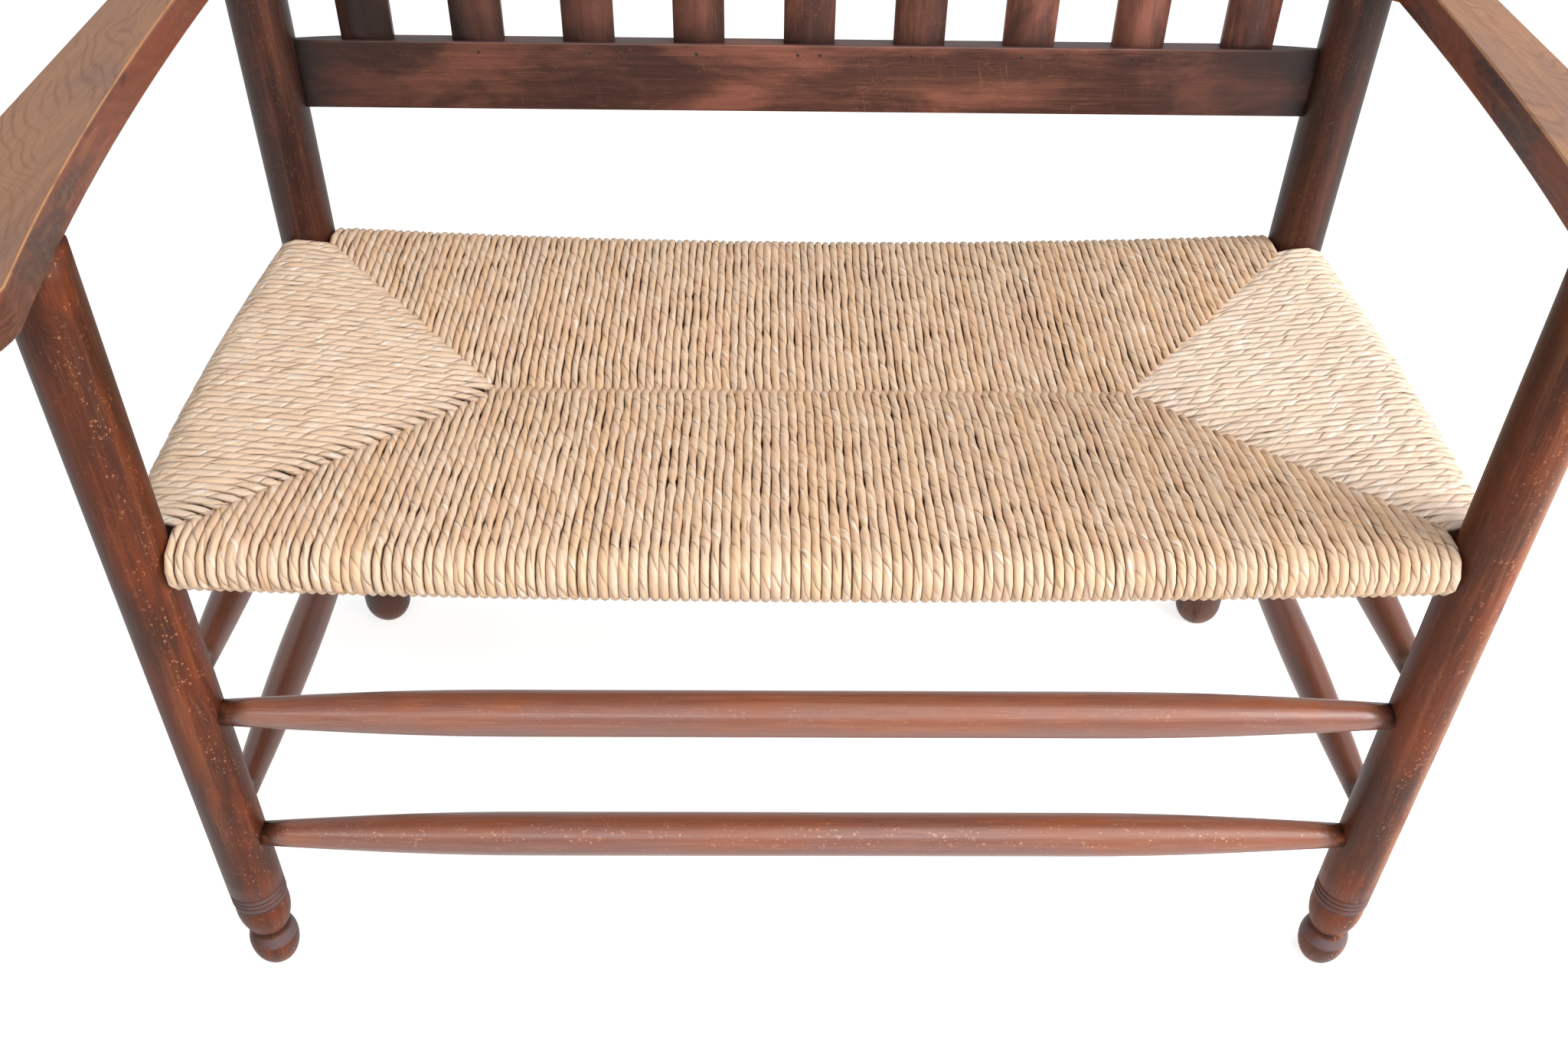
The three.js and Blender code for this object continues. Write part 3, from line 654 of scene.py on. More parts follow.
def rubbed_round(bm, middle, heading, facing, darkness, flecks, shade_all_round=0):
    """Flecks where a turned piece gets rubbed, and painted shade in its dark varnish colour, on the
    sides turned away from where it faces and, where asked, all round
    """
    marked_round(bm, "tone", middle, heading, facing,
                 lambda turn: min(DARKEST, shade_all_round + darkness * max(0, 1 - turn)))
    marked_round(bm, "flecked", middle, heading, facing, lambda turn: flecks * max(0, turn) ** 4)


def end_marks(bm, from_tip):
    """Grime and painted shade in the neck and grooves, greyish haze and painted sheen on the rings
    and on the top of the ball, by height from the tip
    """
    size = settings("turning")
    neck, top = size.ball_height, size.ball_height + size.bulb_height
    grooves = [top + size.band / RINGS * number for number in range(RINGS + 1)]

    def grime(place):
        height = from_tip(place.z)
        return max(near(height, neck, 4 * MM),
                   *(near(height, groove, 0.9 * MM) for groove in grooves))

    def bloom(place):
        height = from_tip(place.z)
        if size.ball_widest + 3 * MM < height < neck - 3 * MM:
            return 1
        return 0.7 if top - 2 * MM < height < top + size.band else 0

    marked(bm, "grime", grime)
    marked(bm, "bloom", bloom)


def upright(node, profile, from_tip, **rubbing):
    """A leg or post in its place, with its marks"""
    bm = spun(subdivided(profile, longest=20 * MM))
    end_marks(bm, from_tip)
    bmesh.ops.translate(bm, vec=axis_of(node), verts=bm.verts)
    rubbed_round(bm, axis_of(node), UP, **rubbing)
    return bm


def leg(side, word):
    """A front leg, from its ball foot up to the underside of the arm"""
    node = f"front_leg_{word}"
    radius, top = radius_of(node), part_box(f"arm_{word}")[0].z
    foot = turned_end(settings("turning").pad, radius)
    # Painted shade on the sides of each leg turned away from the front and the lamps on the right
    bm = upright(node, [(0, 0), *foot, (radius, top), (0, top)], lambda z: z,
                 facing=(0.5 - 0.3 * side, -1, 0), darkness=0.6 - 0.2 * side, flecks=1)
    # Painted highlight on the right side of the right leg
    if word == "right":
        marked_round(bm, "wear", axis_of(node), UP, (1, -0.6, 0),
                     lambda turn: 0.65 * max(0, turn) ** 2)
    wooden(f"turned_leg_{word}", bm, "leg", "Z", node)


def post(side, word):
    """A back post, from its rounded toe to its finial"""
    size = settings("turning")
    node = f"back_post_{word}"
    radius, top = radius_of(node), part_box(node)[1].z
    toe = bulge(radius, size.toe_pad / 2, radius, 0, size.toe_height, TOE_STEPS)
    finial = [(r, top - z) for r, z in reversed(turned_end(size.tip, radius))]
    # Painted shade makes the sides of each post turned away from the front nearly black
    bm = upright(node, [(0, 0), *toe, *finial, (0, top)], lambda z: top - z,
                 facing=(-0.3 * side, -1, 0), darkness=1.3, flecks=0.8)
    # Painted light on the toes of the posts
    marked(bm, "wear", lambda place: 0.7 * near(place.z, 0, 120 * MM))
    wooden(f"turned_post_{word}", bm, "post", "Z", node)


def stretcher(node, start_node, end_node):
    """A turned bar between two uprights, thinner at both ends"""
    size = settings("turning")
    start, end = axis_of(start_node), axis_of(end_node)
    heading = (end - start).normalized()
    start += heading * (radius_of(start_node) - SUNK)
    end -= heading * (radius_of(end_node) - SUNK)
    half = (end - start).length / 2
    taper = min(size.taper, half)
    thin, full = size.tenon / 2, radius_of(node, 2)
    swell = [(thin + (full - thin) * sin(pi / 2 * part), -half + taper * part)
             for part in evenly(SWELL_STEPS)]
    other = [(radius, -along) for radius, along in reversed(swell)]
    if taper == half:
        other = other[1:]
    bm = spun(subdivided([(0, -half), *swell, *other, (0, half)], longest=30 * MM), steps=32)
    marked(bm, "grime", lambda place: near(abs(place.z), half, 4.5 * MM))
    middle = (start + end) / 2
    middle.z = middle_of(node).z
    turn = UP.rotation_difference(heading).to_matrix().to_4x4()
    bmesh.ops.transform(bm, matrix=Matrix.Translation(middle) @ turn, verts=bm.verts)
    # Painted shade on the back and underside of each stretcher, and all round the side and rear
    # ones, which lie in the seat's shade
    rubbed_round(bm, middle, heading, facing=(0, -1, 1), darkness=0.6,
                 flecks=1 if node == "front_stretcher_lower" else 0.3,
                 shade_all_round=0 if node.startswith("front") else 0.55)
    axis = "X" if abs(heading.x) > abs(heading.y) else "Y"
    wooden(f"turned_{node}", bm, "stretcher", axis, node)


# Flat pieces

# Least angle of an edge that gets rounded, and the steps of its rounding
SHARP, EDGE_STEPS = radians(50), 4

# The ring of a rounded edge that is worn: how far down the rounding, and how far it reaches
WORN_AT, WORN_REACH = 0.29, 0.25

# Steps of the curves of an arm's outline, and of a back rail's
TAIL_STEPS, NOTCH_STEPS, BOW_STEPS, NOSE_STEPS, RAIL_STEPS = 6, 10, 14, 8, 8

# Painted shade on the back: how much in its middle, and how much more a metre to the left, in place
# of a sheen that lights its middle and right
BACK_SHADE, SHADE_PER_METRE = 0.2, 2.4

# The number of slats, how far they go into the rails, and how many cuts let the marks vary
SLATS, SLAT_END, SLAT_CUTS = 9, 2 * MM, 31


def board(outline, bottom, top, rounding):
    """A flat piece with the given outline and rounded edges, which are marked as worn"""
    bm = bmesh.new()
    face = bm.faces.new([bm.verts.new((x, y, bottom)) for x, y in outline])
    raised = bmesh.ops.extrude_face_region(bm, geom=[face])
    upper = [item for item in raised["geom"] if isinstance(item, bmesh.types.BMVert)]
    bmesh.ops.translate(bm, vec=(0, 0, top - bottom), verts=upper)
    bmesh.ops.recalc_face_normals(bm, faces=bm.faces)
    rims = [edge for edge in bm.edges if edge.calc_face_angle(0) > SHARP
            and abs(edge.verts[0].co.z - edge.verts[1].co.z) < MM]
    rounded = bmesh.ops.bevel(bm, geom=rims, offset=rounding, segments=EDGE_STEPS,
                              profile=0.5, affect="EDGES", material=-1)
    marked(bm, "flank",
           lambda place: min(1, max(0, min(top - place.z, place.z - bottom) / rounding)))
    wear, flank = marks(bm, "wear"), marks(bm, "flank")
    corners = set(rounded["faces"])
    for vert in bm.verts:
        if all(face in corners for face in vert.link_faces):
            vert[wear] = near(vert[flank], WORN_AT, WORN_REACH)
    return bm


def bend(start, control, end, steps):
    """Points of a curve that leaves towards its control point, without the first"""
    return [tuple((1 - t) ** 2 * a + 2 * t * (1 - t) * c + t ** 2 * b
                  for a, c, b in zip(start, control, end)) for t in evenly(steps, 1)]


def arm_outline(side, word):
    """Outline of an arm from above: outer edge, tail, notch at the post, bowed inner edge, nose"""
    size = settings("board")
    low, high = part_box(f"arm_{word}")
    centre, leg_axis = axis_of(f"back_post_{word}"), axis_of(f"front_leg_{word}")
    radius = radius_of(f"back_post_{word}")
    gap = radius + settings("seat").clearance
    outer = high.x if side > 0 else low.x

    def inward(width):
        return outer - side * width

    nose = low.y + size.arm_nose
    hook = inward(size.arm_rear_width + size.arm_hook_width)
    hook_front = centre.y - radius
    bow_y = leg_axis.y + (centre.y - leg_axis.y) / 4
    first = asin((high.y - centre.y) / gap)
    last = -acos(abs(hook - centre.x) / gap)
    angles = [first + (last - first) * part for part in evenly(NOTCH_STEPS)]
    notch = [(centre.x + side * gap * cos(angle), centre.y + gap * sin(angle)) for angle in angles]
    narrow = (inward(size.arm_rear_width), hook_front - size.arm_hook_length)
    wide = (inward(size.arm_front_width), nose)
    middle = (inward(size.arm_front_width / 2), low.y)
    tail = (outer, high.y - size.arm_tail)
    return [
        (outer, nose), tail,
        *bend(tail, (outer, high.y), (inward(size.arm_tail), high.y), TAIL_STEPS),
        *notch, (hook, hook_front), narrow,
        *bend(narrow, (inward(size.arm_rear_width + size.arm_bow), bow_y), wide, BOW_STEPS),
        *bend(wide, (wide[0], low.y), middle, NOSE_STEPS),
        *bend(middle, (outer, low.y), (outer, nose), NOSE_STEPS)[:-1],
    ]


def arm(side, word):
    """A flat arm"""
    node = f"arm_{word}"
    low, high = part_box(node)
    bm = board(arm_outline(side, word), low.z, high.z, settings("board").arm_round)
    flat_faced(wooden(f"flat_{node}", bm, "arm", "Y", node))


def left_shade(x):
    """Painted shade on the back, more towards its left end, in place of a sheen on its middle and
    right
    """
    return min(1, max(0, BACK_SHADE - SHADE_PER_METRE * x))


def back_rail(node):
    """A rail of the back, with thin ends that go into the posts"""
    size = settings("board")
    low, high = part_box(node)
    face = axis_of("back_post_right").x - radius_of("back_post_right") + MM
    thin, full = low.y + size.rail_end, high.y
    full_at, bend_at = face - size.rail_taper, face - size.rail_taper / 2
    right = [(face, low.y), (face, thin),
             *bend((face, thin), (bend_at, full), (full_at, full), RAIL_STEPS)]
    left = [(-x, y) for x, y in reversed(right)]
    outline = subdivided(right + left + right[:1], longest=30 * MM)[:-1]
    bm = board(outline, low.z, high.z, size.arris)

    def top(place):
        return near(place.z, high.z, MM)

    marked(bm, "grime", lambda place: near(abs(place.x), face, 12 * MM))
    # Darker towards both ends, painted shade towards the left, and the top face painted darker and
    # greyer as its sheen
    marked(bm, "tone", lambda place: max(0.9 * near(abs(place.x), face, 240 * MM),
                                         0.5 * left_shade(place.x), 0.65 * top(place)))
    # Painted sheen on the top face and towards the right end
    marked(bm, "bloom", lambda place: max(0.8 * top(place), 0.45 * near(place.x, face, 150 * MM)))
    flat_faced(wooden(f"flat_{node}", bm, "back", "X", node))


def slat(number):
    """A slat of the back, between its two rails"""
    node = f"slat_{number}"
    low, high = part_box(node)
    outline = [(low.x, low.y), (high.x, low.y), (high.x, high.y), (low.x, high.y)]
    bottom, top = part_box("lower_back_rail")[1].z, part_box("upper_back_rail")[0].z
    bm = board(outline, bottom - SLAT_END, top + SLAT_END, settings("board").arris)
    long_edges = [edge for edge in bm.edges if edge.calc_length() > 100 * MM]
    bmesh.ops.subdivide_edges(bm, edges=long_edges, cuts=SLAT_CUTS)
    # Painted shade towards the left, and darker towards the bottom
    marked(bm, "tone",
           lambda place: min(1, left_shade(place.x) + 0.6 * near(place.z, bottom, 22 * MM)))
    wooden(f"flat_{node}", bm, "back", "Z", node)


# Rush seat: cords run from each rail to the seams, over the rails and back underneath

# Cords of each panel that end on a mitre at one corner, and those between the two corners
CORNER_CORDS, MIDDLE_CORDS = 26, 75

# How each kind of end lies, in millimetres: reach past the seam, lift at the seam, drop at the tip
LAPS = {"over": (7.0, 1.3, 2.6), "under": (3.0, -2.0, 4.2), "meet": (3.0, 0.0, 2.0)}

# Least and most of its lap's reach that a cord takes
REACHES = (0.75, 1.3)

# Widths of a cord's rounded tip, at shares of its reach past the seam, and how far from its end it
# gets painted shade
# TIP, TIP_SHADE_REACH = ((1, 0.4), (0.8, 0.78), (0.4, 0.98)), 9 * MM
TIP, TIP_SHADE_REACH = ((1, 0.4), (0.8, 0.78), (0.4, 0.98)), 9 * MM

# Where the even stations of a cord begin, counted from its seam
SEAM_SPAN = 4 * MM

# Steps of a cord round its rail, and the angles of its section's corners
BEND_STEPS = 5
SECTION = [radians(angle) for angle in (0, 45, 90, 135, 180, 270)]

# How much lighter the rush of the side panels is: lighter leaves on both, and painted light on the
# right one
PALE_AND_LIT = {"left": 1.0, "right": 1.9}

# Length of twisted rush from which each cord takes a piece of its own
ROLL = 40

# How deep the packing lies below the skin of the cords, in cords, and its steps along a panel and
# round the rail
PACKING_DEPTH, PACKING_STEPS, PACKING_BEND = 0.56, 16, 6


# A run of cords that end on one straight stretch of seam: its ends, the number of cords, how they
# lie there, and how far their tips lean, in millimetres
Zone = collections.namedtuple("Zone", "start end count lap lean", defaults=[(0, 0, 0)])


def off_chord(most, share_along):
    """How far a bent line is off its chord, for the most that it is off"""
    return 4 * most * share_along * (1 - share_along)


class Panel:
    """One of the seat's four sides: its rail, which way is out, and its zones from end to end"""

    def __init__(self, name, ends, height, sag, bow, outward, zones):
        self.name, self.ends, self.height, self.sag, self.bow = name, ends, height, sag, bow
        self.outward, self.zones = Vector(outward), zones
        self.count = sum(zone.count for zone in zones)
        axis = 0 if abs(self.outward.y) else 1
        places = [point[axis] for point in (zones[0].start, zones[-1].end, *ends)]
        self.pitch = abs(places[1] - places[0]) / self.count
        self.share_of = [(place - places[2]) / (places[3] - places[2]) for place in places[:2]]

    def rail_point(self, position):
        """Axis of the rail beside a place on the panel, counted in cords from its first end"""
        first, last = self.share_of
        way = first + (last - first) * position / self.count
        point = self.ends[0].lerp(self.ends[1], way) + self.outward * off_chord(self.bow, way)
        point.z = self.height - off_chord(self.sag, way)
        return point

    def zone_at(self, position):
        """The zone of a place, and how far along that zone it lies"""
        for zone in self.zones:
            if position <= zone.count:
                return zone, position / zone.count
            position -= zone.count
        return self.zones[-1], 1

    def line(self, position, depth):
        """The seat at a place, a depth below its skin: seam, rail, radius, heights and zone"""
        seat = settings("seat")
        zone, along = self.zone_at(position)
        seam = zone.start.lerp(zone.end, along)
        radius = seat.rail / 2 + seat.cord - depth
        rail = self.rail_point(position)
        return seam.xy.to_3d(), rail, radius, seam.z - depth, seam.w + depth, zone

    def round_rail(self, rail, radius, angle):
        """A place at an angle round the rail, from its top outwards"""
        return rail + self.outward * (radius * sin(angle)) + UP * (radius * cos(angle))


def seat_corner(side, at_back):
    """Inner corner of the rush beside an upright: its place, and its heights above and below"""
    seat = settings("seat")
    word = dict(SIDES)[side]
    node = f"back_post_{word}" if at_back else f"front_leg_{word}"
    axis = axis_of(node)
    reach = radius_of(node) + seat.clearance
    rails = (seat.side_height + (seat.rear_height if at_back else seat.front_height)) / 2
    over = seat.rail / 2 + seat.cord
    return Vector((axis.x - side * reach, axis.y + (-reach if at_back else reach),
                   rails + over - seat.groove, rails - over))


def seat_panels():
    """Front, rear, left and right panel of the seat"""
    seat = settings("seat")
    legs, posts = ({side: axis_of(f"{kind}_{word}") for side, word in SIDES}
                   for kind in ("front_leg", "back_post"))
    fronts, backs = ({side: seat_corner(side, at_back) for side, _ in SIDES}
                     for at_back in (False, True))
    ends = {}
    for side, _ in SIDES:
        end = (fronts[side] + backs[side]) / 2
        end.x *= MIDDLE_CORDS / (MIDDLE_CORDS + 2 * CORNER_CORDS)
        end.z, end.w = seat.seam_top, seat.seam_top - seat.seam_thickness
        ends[side] = end

    def long_zones(corners, lean):
        return [Zone(corners[-1], ends[-1], CORNER_CORDS, "under"),
                Zone(ends[-1], ends[1], MIDDLE_CORDS, "meet"),
                Zone(ends[1], corners[1], CORNER_CORDS, "over", (lean, 0, 0))]

    def side_zones(side, lap, front_lean, rear_lean):
        return [Zone(fronts[side], ends[side], CORNER_CORDS, lap, (0, front_lean, 0)),
                Zone(ends[side], backs[side], CORNER_CORDS, lap, (0, rear_lean, 0))]

    side_rail = seat.side_height, 0, seat.side_bow
    return [
        Panel("front", (legs[-1], legs[1]), seat.front_height, seat.front_sag, 0, (0, -1, 0),
              long_zones(fronts, lean=-2)),
        Panel("rear", (posts[-1], posts[1]), seat.rear_height, seat.rear_sag, 0, (0, 1, 0),
              long_zones(backs, lean=1)),
        Panel("left", (legs[-1], posts[-1]), *side_rail, (-1, 0, 0),
              side_zones(-1, "over", front_lean=-8, rear_lean=-1)),
        Panel("right", (legs[1], posts[1]), *side_rail, (1, 0, 0),
              side_zones(1, "under", front_lean=0, rear_lean=0)),
    ]


def strays(panel, number, distance):
    """How far a cord strays sideways at a distance from its seam, and how thick it is there"""
    seat = settings("seat")
    shared = noise.noise(Vector((number * 0.21, distance * 38, 3.1 * len(panel.name))))
    own = noise.noise(Vector((number * 7.7, distance * 60, 1.5)))
    thick = noise.noise(Vector((number * 3.3, distance * 85, 9.2)))
    return (shared + 0.6 * own) * seat.wander, 1 + seat.swell * thick


def cord_rings(panel, number, chance):
    """Centres and widths of a cord's rings, from its tip on top round the rail to the seam below"""
    seat = settings("seat")
    seam, rail, radius, over, under, zone = panel.line(number + 0.5, seat.cord / 2)
    reach, lift, drop = (value * MM for value in LAPS[zone.lap])
    lean, shift = Vector(zone.lean) * MM, Vector((0, 0, 0))
    if zone.lap == "meet":
        shift.x = panel.pitch / 4 * (1 if panel.name == "rear" else -1)
    outward = (rail.xy - seam.xy).to_3d().normalized()
    beside = UP.cross(outward)
    run = (rail.xy - seam.xy).length
    rise = rail.z + radius - over
    reach *= chance.uniform(*REACHES)

    stations = [(-reach * part, width) for part, width in TIP] + [(SEAM_SPAN, 1)]
    rest = run - SEAM_SPAN
    count = max(1, round(rest / seat.station))
    stations += [(SEAM_SPAN + rest * part, 1) for part in evenly(count, 1)]
    rings = []
    for distance, width in stations:
        t = min(1, max(0, distance / run))
        side, thick = strays(panel, number, distance)
        height = over + rise * t + off_chord(seat.crown, t)
        height += lift * near(distance, 0, 12 * MM) - drop * max(0, -distance / reach) ** 1.5
        centre = seam + outward * distance + beside * side * min(1, 0.3 + distance / (20 * MM))
        centre += lean * near(distance, -reach, 20 * MM + reach) ** 1.5
        centre += shift * near(distance, 0, 30 * MM + reach)
        rings.append((Vector((centre.x, centre.y, height)), width * thick))
    side, thick = strays(panel, number, run)
    for part in evenly(BEND_STEPS, 1):
        centre = panel.round_rail(rail, radius, pi * part)
        rings.append((centre + beside * side * (1 - part), 1 + (thick - 1) * (1 - part)))
    for t in (0.5, 1):
        centre = rail.lerp(seam, t)
        centre.z = rail.z - radius + (under - rail.z + radius) * t
        rings.append((centre, 1))
    return rings, beside


def straight_cord(radius, segments):
    """A straight piece of cord, with a ring of vertices at every whole step along X"""
    bm = bmesh.new()
    verts = [bm.verts.new((0, radius * cos(angle), radius * sin(angle))) for angle in SECTION]
    rim = [bm.edges.new(pair) for pair in zip(verts, verts[1:] + verts[:1])]
    bmesh.ops.contextual_create(bm, geom=rim)
    for _ in range(segments):
        grown = bmesh.ops.extrude_edge_only(bm, edges=rim)["geom"]
        fresh = {item for item in grown if isinstance(item, bmesh.types.BMVert)}
        rim = [item for item in grown
               if isinstance(item, bmesh.types.BMEdge) and fresh.issuperset(item.verts)]
        bmesh.ops.translate(bm, vec=(1, 0, 0), verts=list(fresh))
    bmesh.ops.contextual_create(bm, geom=rim)
    bmesh.ops.recalc_face_normals(bm, faces=bm.faces)
    return bm


def laid_cord(bm, rings, beside, start, widening):
    """Bends a straight cord through its rings. Returns each vertex's place on the straight cord."""
    centres = [centre for centre, _ in rings]
    before = [centres[0]] + centres[:-1]
    after = centres[1:] + [centres[-1]]
    along, run = [], start
    for here, last in zip(centres, before):
        run += (here - last).length
        along.append(run)
    straight = []
    for vert in bm.verts:
        step = round(vert.co.x)
        _, across, above = vert.co
        outward = (after[step] - before[step]).normalized().cross(beside)
        centre, width = rings[step]
        straight.append((along[step], across, above))
        vert.co = centre + beside * (across * width * widening) + outward * (above * min(1, width))
    return straight


def cord_panel(panel, material):
    """All the cords of one side of the seat, as one piece"""
    seat = settings("seat")
    name = f"rush_{panel.name}"
    chance = random.Random(f"rush {panel.name}")
    whole = bmesh.new()
    spare = bpy.data.meshes.new("spare_cord")
    places, tones, tip_shades = [], [], []
    widening = panel.pitch * (1 + seat.overlap) / seat.cord
    for number in range(panel.count):
        rings, beside = cord_rings(panel, number, chance)
        cord = straight_cord(seat.cord / 2, len(rings) - 1)
        start = chance.uniform(0, ROLL)
        straight = laid_cord(cord, rings, beside, start, widening)
        cord.to_mesh(spare)
        cord.free()
        whole.from_mesh(spare)
        places += straight
        tones += [chance.random()] * len(straight)
        # Painted shade on each cord near its end at the seam
        tip_shades += [near(place[0] - start, 0, TIP_SHADE_REACH) for place in straight]
    bpy.data.meshes.remove(spare)
    mesh = meshed(name, whole)
    where = mesh.attributes.new("cord_place", "FLOAT_VECTOR", "POINT")
    where.data.foreach_set("vector", [value for place in places for value in place])
    pale = [PALE_AND_LIT.get(panel.name, 0)] * len(tones)
    for mark, values in (("cord_tone", tones), ("cord_pale", pale), ("cord_tip", tip_shades)):
        mesh.attributes.new(mark, "FLOAT", "POINT").data.foreach_set("value", values)
    shown(name, mesh, material, ["rush_seat"])


def packing_section(panel, position):
    """Outline of the packing across one side of the seat, from seam to seam round the rail"""
    depth = settings("seat").cord * PACKING_DEPTH
    seam, rail, radius, over, under, _ = panel.line(position, depth)
    bow = [panel.round_rail(rail, radius, pi * part) for part in evenly(PACKING_BEND)]
    return [seam + UP * (over - 2 * MM), *bow, seam + UP * under]


def packing(panels):
    """The dark packing under the cords of all four sides"""
    bm = bmesh.new()
    for panel in panels:
        loops = []
        for part in evenly(PACKING_STEPS):
            points = packing_section(panel, panel.count * part)
            verts = [bm.verts.new(point) for point in points]
            loops.append([bm.edges.new(pair) for pair in zip(verts, verts[1:] + verts[:1])])
        for here, there in zip(loops, loops[1:]):
            bmesh.ops.bridge_loops(bm, edges=here + there)
        for end in (loops[0], loops[-1]):
            bmesh.ops.contextual_create(bm, geom=end)
    bmesh.ops.recalc_face_normals(bm, faces=bm.faces)
    name = "rush_stuffing"
    shown(name, meshed(name, bm), packing_material(), ["rush_seat"])


# Small fasteners

# Each brad's slat, and how far it sits from the slat's middle, in millimetres
BRADS = ((2, 0), (3, 1), (4, -2), (5, -9), (5, 9), (6, -6), (7, -5), (8, -4))

# How far a brad's domed head stands out, as a share of its radius
DOME = 0.35


def brads():
    """The heads of the brads on the front face of the lower back rail"""
    size = settings("board")
    low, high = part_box("lower_back_rail")
    bm = bmesh.new()
    for number, offset in BRADS:
        x = middle_of(f"slat_{number}").x + offset * MM
        place = Matrix.Translation((x, low.y, high.z - size.brad_drop))
        bmesh.ops.create_uvsphere(bm, u_segments=12, v_segments=8, radius=size.brad / 2,
                                  matrix=place @ Matrix.Diagonal((1, DOME, 1, 1)))
    shown("brads", meshed("brads", bm), brad_metal(), [])


# Stage

# Size of the floor, and how bright the camera sees it by itself
FLOOR_SIZE, FLOOR_GLOW = 14, 0.7

# Each lamp's place, what it points at, its width and its depth
LAMPS = {
    "ceiling": ((1.0, -0.6, 2.4), (0, 0, 0.4), 3.0, 1.6),
    "window": ((1.9, -1.1, 1.6), (0, 0, 0.45), 1.6, 1.2),
    "front": ((-0.3, -2.2, 1.9), (0, 0, 0.35), 3.0, 0.4),
}

WHITE = (1, 1, 1, 1)
FILM_WIDTH = 36


def seen_directly(recipe):
    """1 for what the camera sees, also in or through metal and glass"""
    path = recipe.node("LightPath", {}).outputs
    return recipe.maths("MAXIMUM", path["Is Glossy Ray"], path["Is Transmission Ray"],
                        path["Is Camera Ray"])


def floor():
    """A pale floor. The camera sees it white, apart from the settee's shadow."""
    bpy.ops.mesh.primitive_plane_add(size=FLOOR_SIZE)
    plane = bpy.context.object
    plane.name = "floor"
    recipe = Recipe("pale_floor")
    recipe.fill(recipe.shader, {
        "Base Color": (*settings("stage").floor, 1), "Roughness": 0.8, "Specular IOR Level": 0.1,
        "Emission Color": WHITE,
        "Emission Strength": recipe.times(seen_directly(recipe), FLOOR_GLOW)})
    plane.data.materials.append(recipe.holder)


def sky():
    """Even pale light from all round, which the camera sees as white"""
    world = bpy.data.worlds.new("even_light")
    recipe = Recipe("", {"Color": WHITE}, world)
    strength = recipe.ramp(seen_directly(recipe), 0, 1, settings("stage").sky, 1)
    recipe.fill(recipe.shader, {"Strength": strength})
    bpy.context.scene.world = world


def lamps():
    """Soft rectangular lamps overhead, on the right and behind the camera"""
    for name, (place, target, width, depth) in LAMPS.items():
        data = bpy.data.lights.new(f"{name}_lamp", "AREA")
        data.shape = "RECTANGLE"
        data.size, data.size_y = width, depth
        data.energy = getattr(settings("stage"), f"{name}_watts")
        thing = bpy.data.objects.new(f"{name}_lamp", data)
        thing.location = place
        thing.rotation_euler = (Vector(target) - Vector(place)).to_track_quat("-Z", "Y").to_euler()
        bpy.context.scene.collection.objects.link(thing)


def camera():
    """The photograph's view"""
    stage = settings("stage")
    data = bpy.data.cameras.new("photo_camera")
    data.sensor_width, data.lens = FILM_WIDTH, stage.lens
    thing = bpy.data.objects.new("photo_camera", data)
    forward = Vector(stage.heading).normalized()
    level = forward.cross(UP).normalized()
    above = level.cross(forward)
    right = level * cos(stage.roll) + above * sin(stage.roll)
    up = above * cos(stage.roll) - level * sin(stage.roll)
    turn = Matrix((right, up, -forward)).transposed().to_4x4()
    thing.matrix_world = Matrix.Translation(stage.place) @ turn
    bpy.context.scene.collection.objects.link(thing)
    bpy.context.scene.camera = thing


# Operators

class SETTEE_OT_stage(bpy.types.Operator):
    """Floor, light and camera"""
    bl_idname = "settee.stage"
    bl_label = "Stage"

    def execute(self, context):
        floor()
        sky()
        lamps()
        camera()
        return {"FINISHED"}


class SETTEE_OT_front_legs(bpy.types.Operator):
    """Two turned front legs with ball feet"""
    bl_idname = "settee.front_legs"
    bl_label = "Front legs"

    def execute(self, context):
        for side, word in SIDES:
            leg(side, word)
        return {"FINISHED"}


class SETTEE_OT_back_posts(bpy.types.Operator):
    """Two round back posts with finials"""
    bl_idname = "settee.back_posts"
    bl_label = "Back posts"

    def execute(self, context):
        for side, word in SIDES:
            post(side, word)
        return {"FINISHED"}


class SETTEE_OT_stretchers(bpy.types.Operator):
    """Seven turned stretchers"""
    bl_idname = "settee.stretchers"
    bl_label = "Stretchers"

    def execute(self, context):
        levels = ("upper", "lower")
        for level in levels:
            stretcher(f"front_stretcher_{level}", "front_leg_left", "front_leg_right")
        stretcher("rear_stretcher", "back_post_left", "back_post_right")
        for _, word in SIDES:
            for level in levels:
                stretcher(f"{word}_stretcher_{level}", f"front_leg_{word}", f"back_post_{word}")
        return {"FINISHED"}


class SETTEE_OT_seat_rails(bpy.types.Operator):
    """Plain wood on the four rails inside the rush"""
    bl_idname = "settee.seat_rails"
    bl_label = "Seat rails"

    def execute(self, context):
        material = raw_wood()
        for place in ("front", "rear", "left", "right"):
            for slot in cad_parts[f"{place}_seat_rail"].material_slots:
                slot.material = material
        return {"FINISHED"}


class SETTEE_OT_rush_seat(bpy.types.Operator):
    """Cords of the four sides of the seat, and the packing under them"""
    bl_idname = "settee.rush_seat"
    bl_label = "Rush seat"

    def execute(self, context):
        panels, material = seat_panels(), rush()
        for panel in panels:
            cord_panel(panel, material)
        packing(panels)
        return {"FINISHED"}


class SETTEE_OT_arms(bpy.types.Operator):
    """Two flat arms"""
    bl_idname = "settee.arms"
    bl_label = "Arms"

    def execute(self, context):
        for side, word in SIDES:
            arm(side, word)
        return {"FINISHED"}


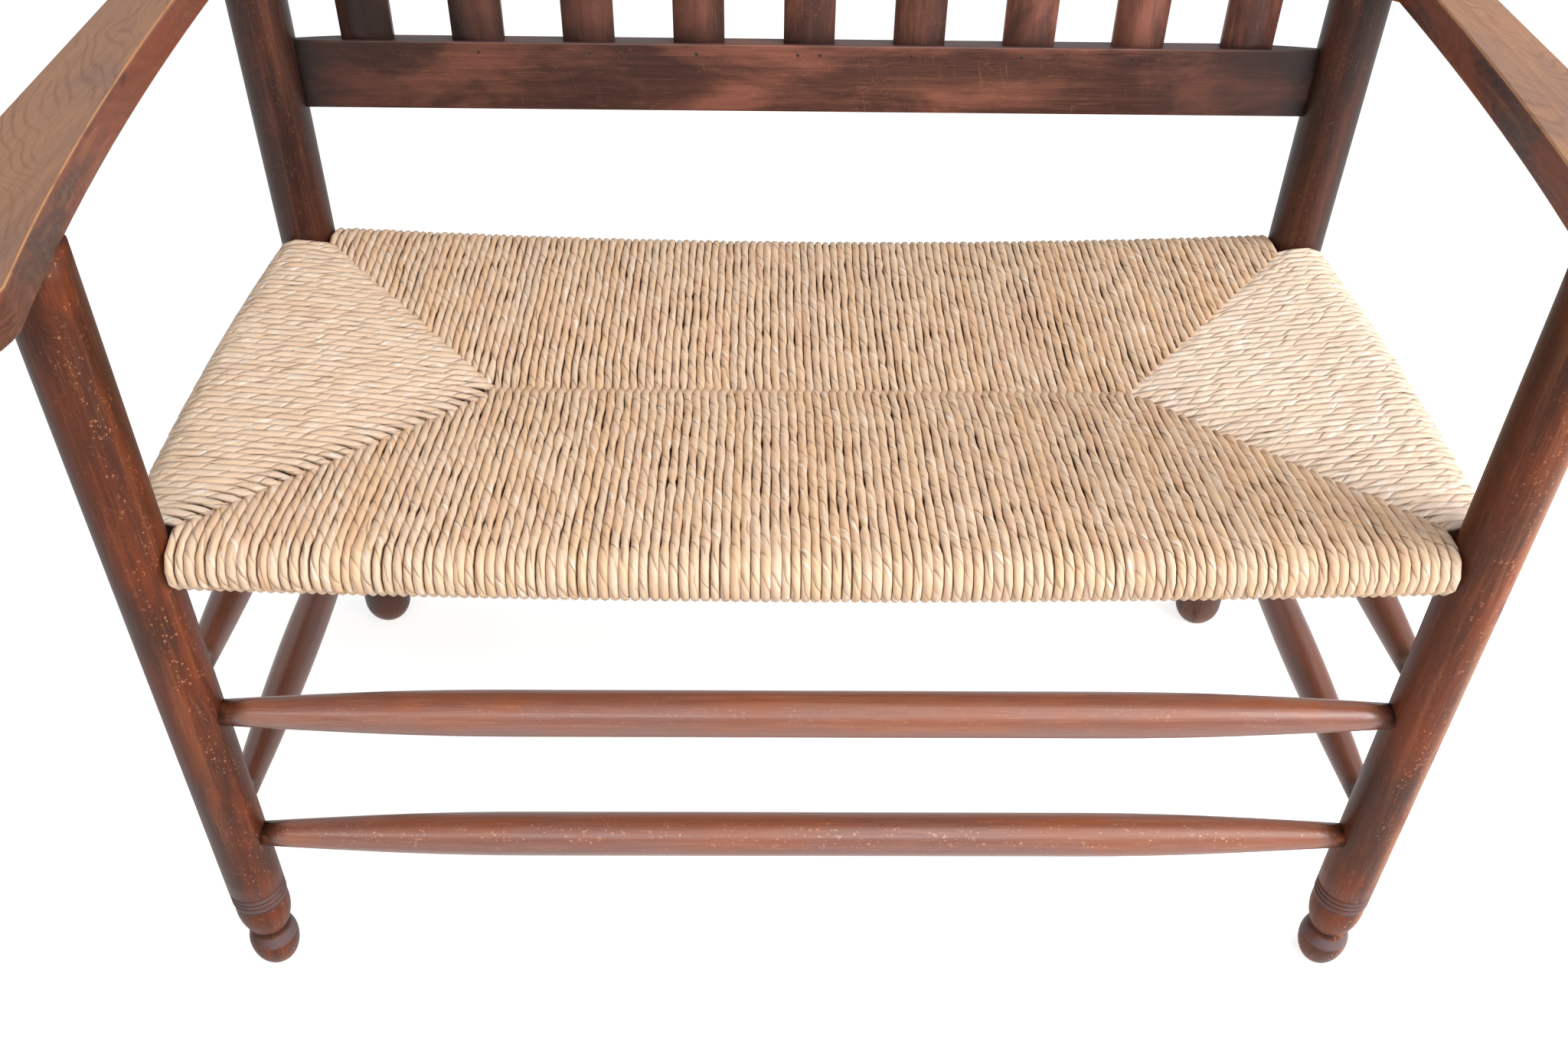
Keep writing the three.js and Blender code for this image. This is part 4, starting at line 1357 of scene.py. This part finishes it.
class SETTEE_OT_back(bpy.types.Operator):
    """Two back rails with nine slats between them"""
    bl_idname = "settee.back"
    bl_label = "Back"

    def execute(self, context):
        for node in ("lower_back_rail", "upper_back_rail"):
            back_rail(node)
        for number in range(1, SLATS + 1):
            slat(number)
        return {"FINISHED"}


class SETTEE_OT_brads(bpy.types.Operator):
    """Brads that hold the slats in the lower back rail"""
    bl_idname = "settee.brads"
    bl_label = "Brads"

    def execute(self, context):
        brads()
        return {"FINISHED"}


# Panel and registration

OPERATORS = (
    SETTEE_OT_stage,
    SETTEE_OT_front_legs,
    SETTEE_OT_back_posts,
    SETTEE_OT_stretchers,
    SETTEE_OT_seat_rails,
    SETTEE_OT_rush_seat,
    SETTEE_OT_arms,
    SETTEE_OT_back,
    SETTEE_OT_brads,
)

GROUPS = {
    "turning": TurningSizes,
    "seat": SeatSizes,
    "board": BoardSizes,
    "wood": WoodTints,
    "rush": RushTints,
    "stage": StageSettings,
}


class SETTEE_PT_panel(bpy.types.Panel):
    """Lists the settee's operators and settings"""
    bl_idname = "SETTEE_PT_panel"
    bl_label = "Settee"
    bl_space_type = "VIEW_3D"
    bl_region_type = "UI"
    bl_category = "Settee"

    def draw(self, context):
        for operator in OPERATORS:
            self.layout.operator(operator.bl_idname)
        for name, group in GROUPS.items():
            box = self.layout.box()
            box.label(text=name.capitalize())
            for key in group.__annotations__:
                box.prop(settings(name), key)


def register():
    for group in GROUPS.values():
        bpy.utils.register_class(group)
    for name, group in GROUPS.items():
        setattr(bpy.types.Scene, "settee_" + name, bpy.props.PointerProperty(type=group))
    for operator in OPERATORS:
        bpy.utils.register_class(operator)
    bpy.utils.register_class(SETTEE_PT_panel)


def unregister():
    bpy.utils.unregister_class(SETTEE_PT_panel)
    for operator in reversed(OPERATORS):
        bpy.utils.unregister_class(operator)
    for name, group in reversed(GROUPS.items()):
        delattr(bpy.types.Scene, "settee_" + name)
        bpy.utils.unregister_class(group)


def main():
    """Builds the whole settee"""
    register()
    bpy.context.scene.view_settings.view_transform = "Standard"
    for operator in OPERATORS:
        group, name = operator.bl_idname.split(".")
        getattr(getattr(bpy.ops, group), name)()


if __name__ == "__main__":
    main()
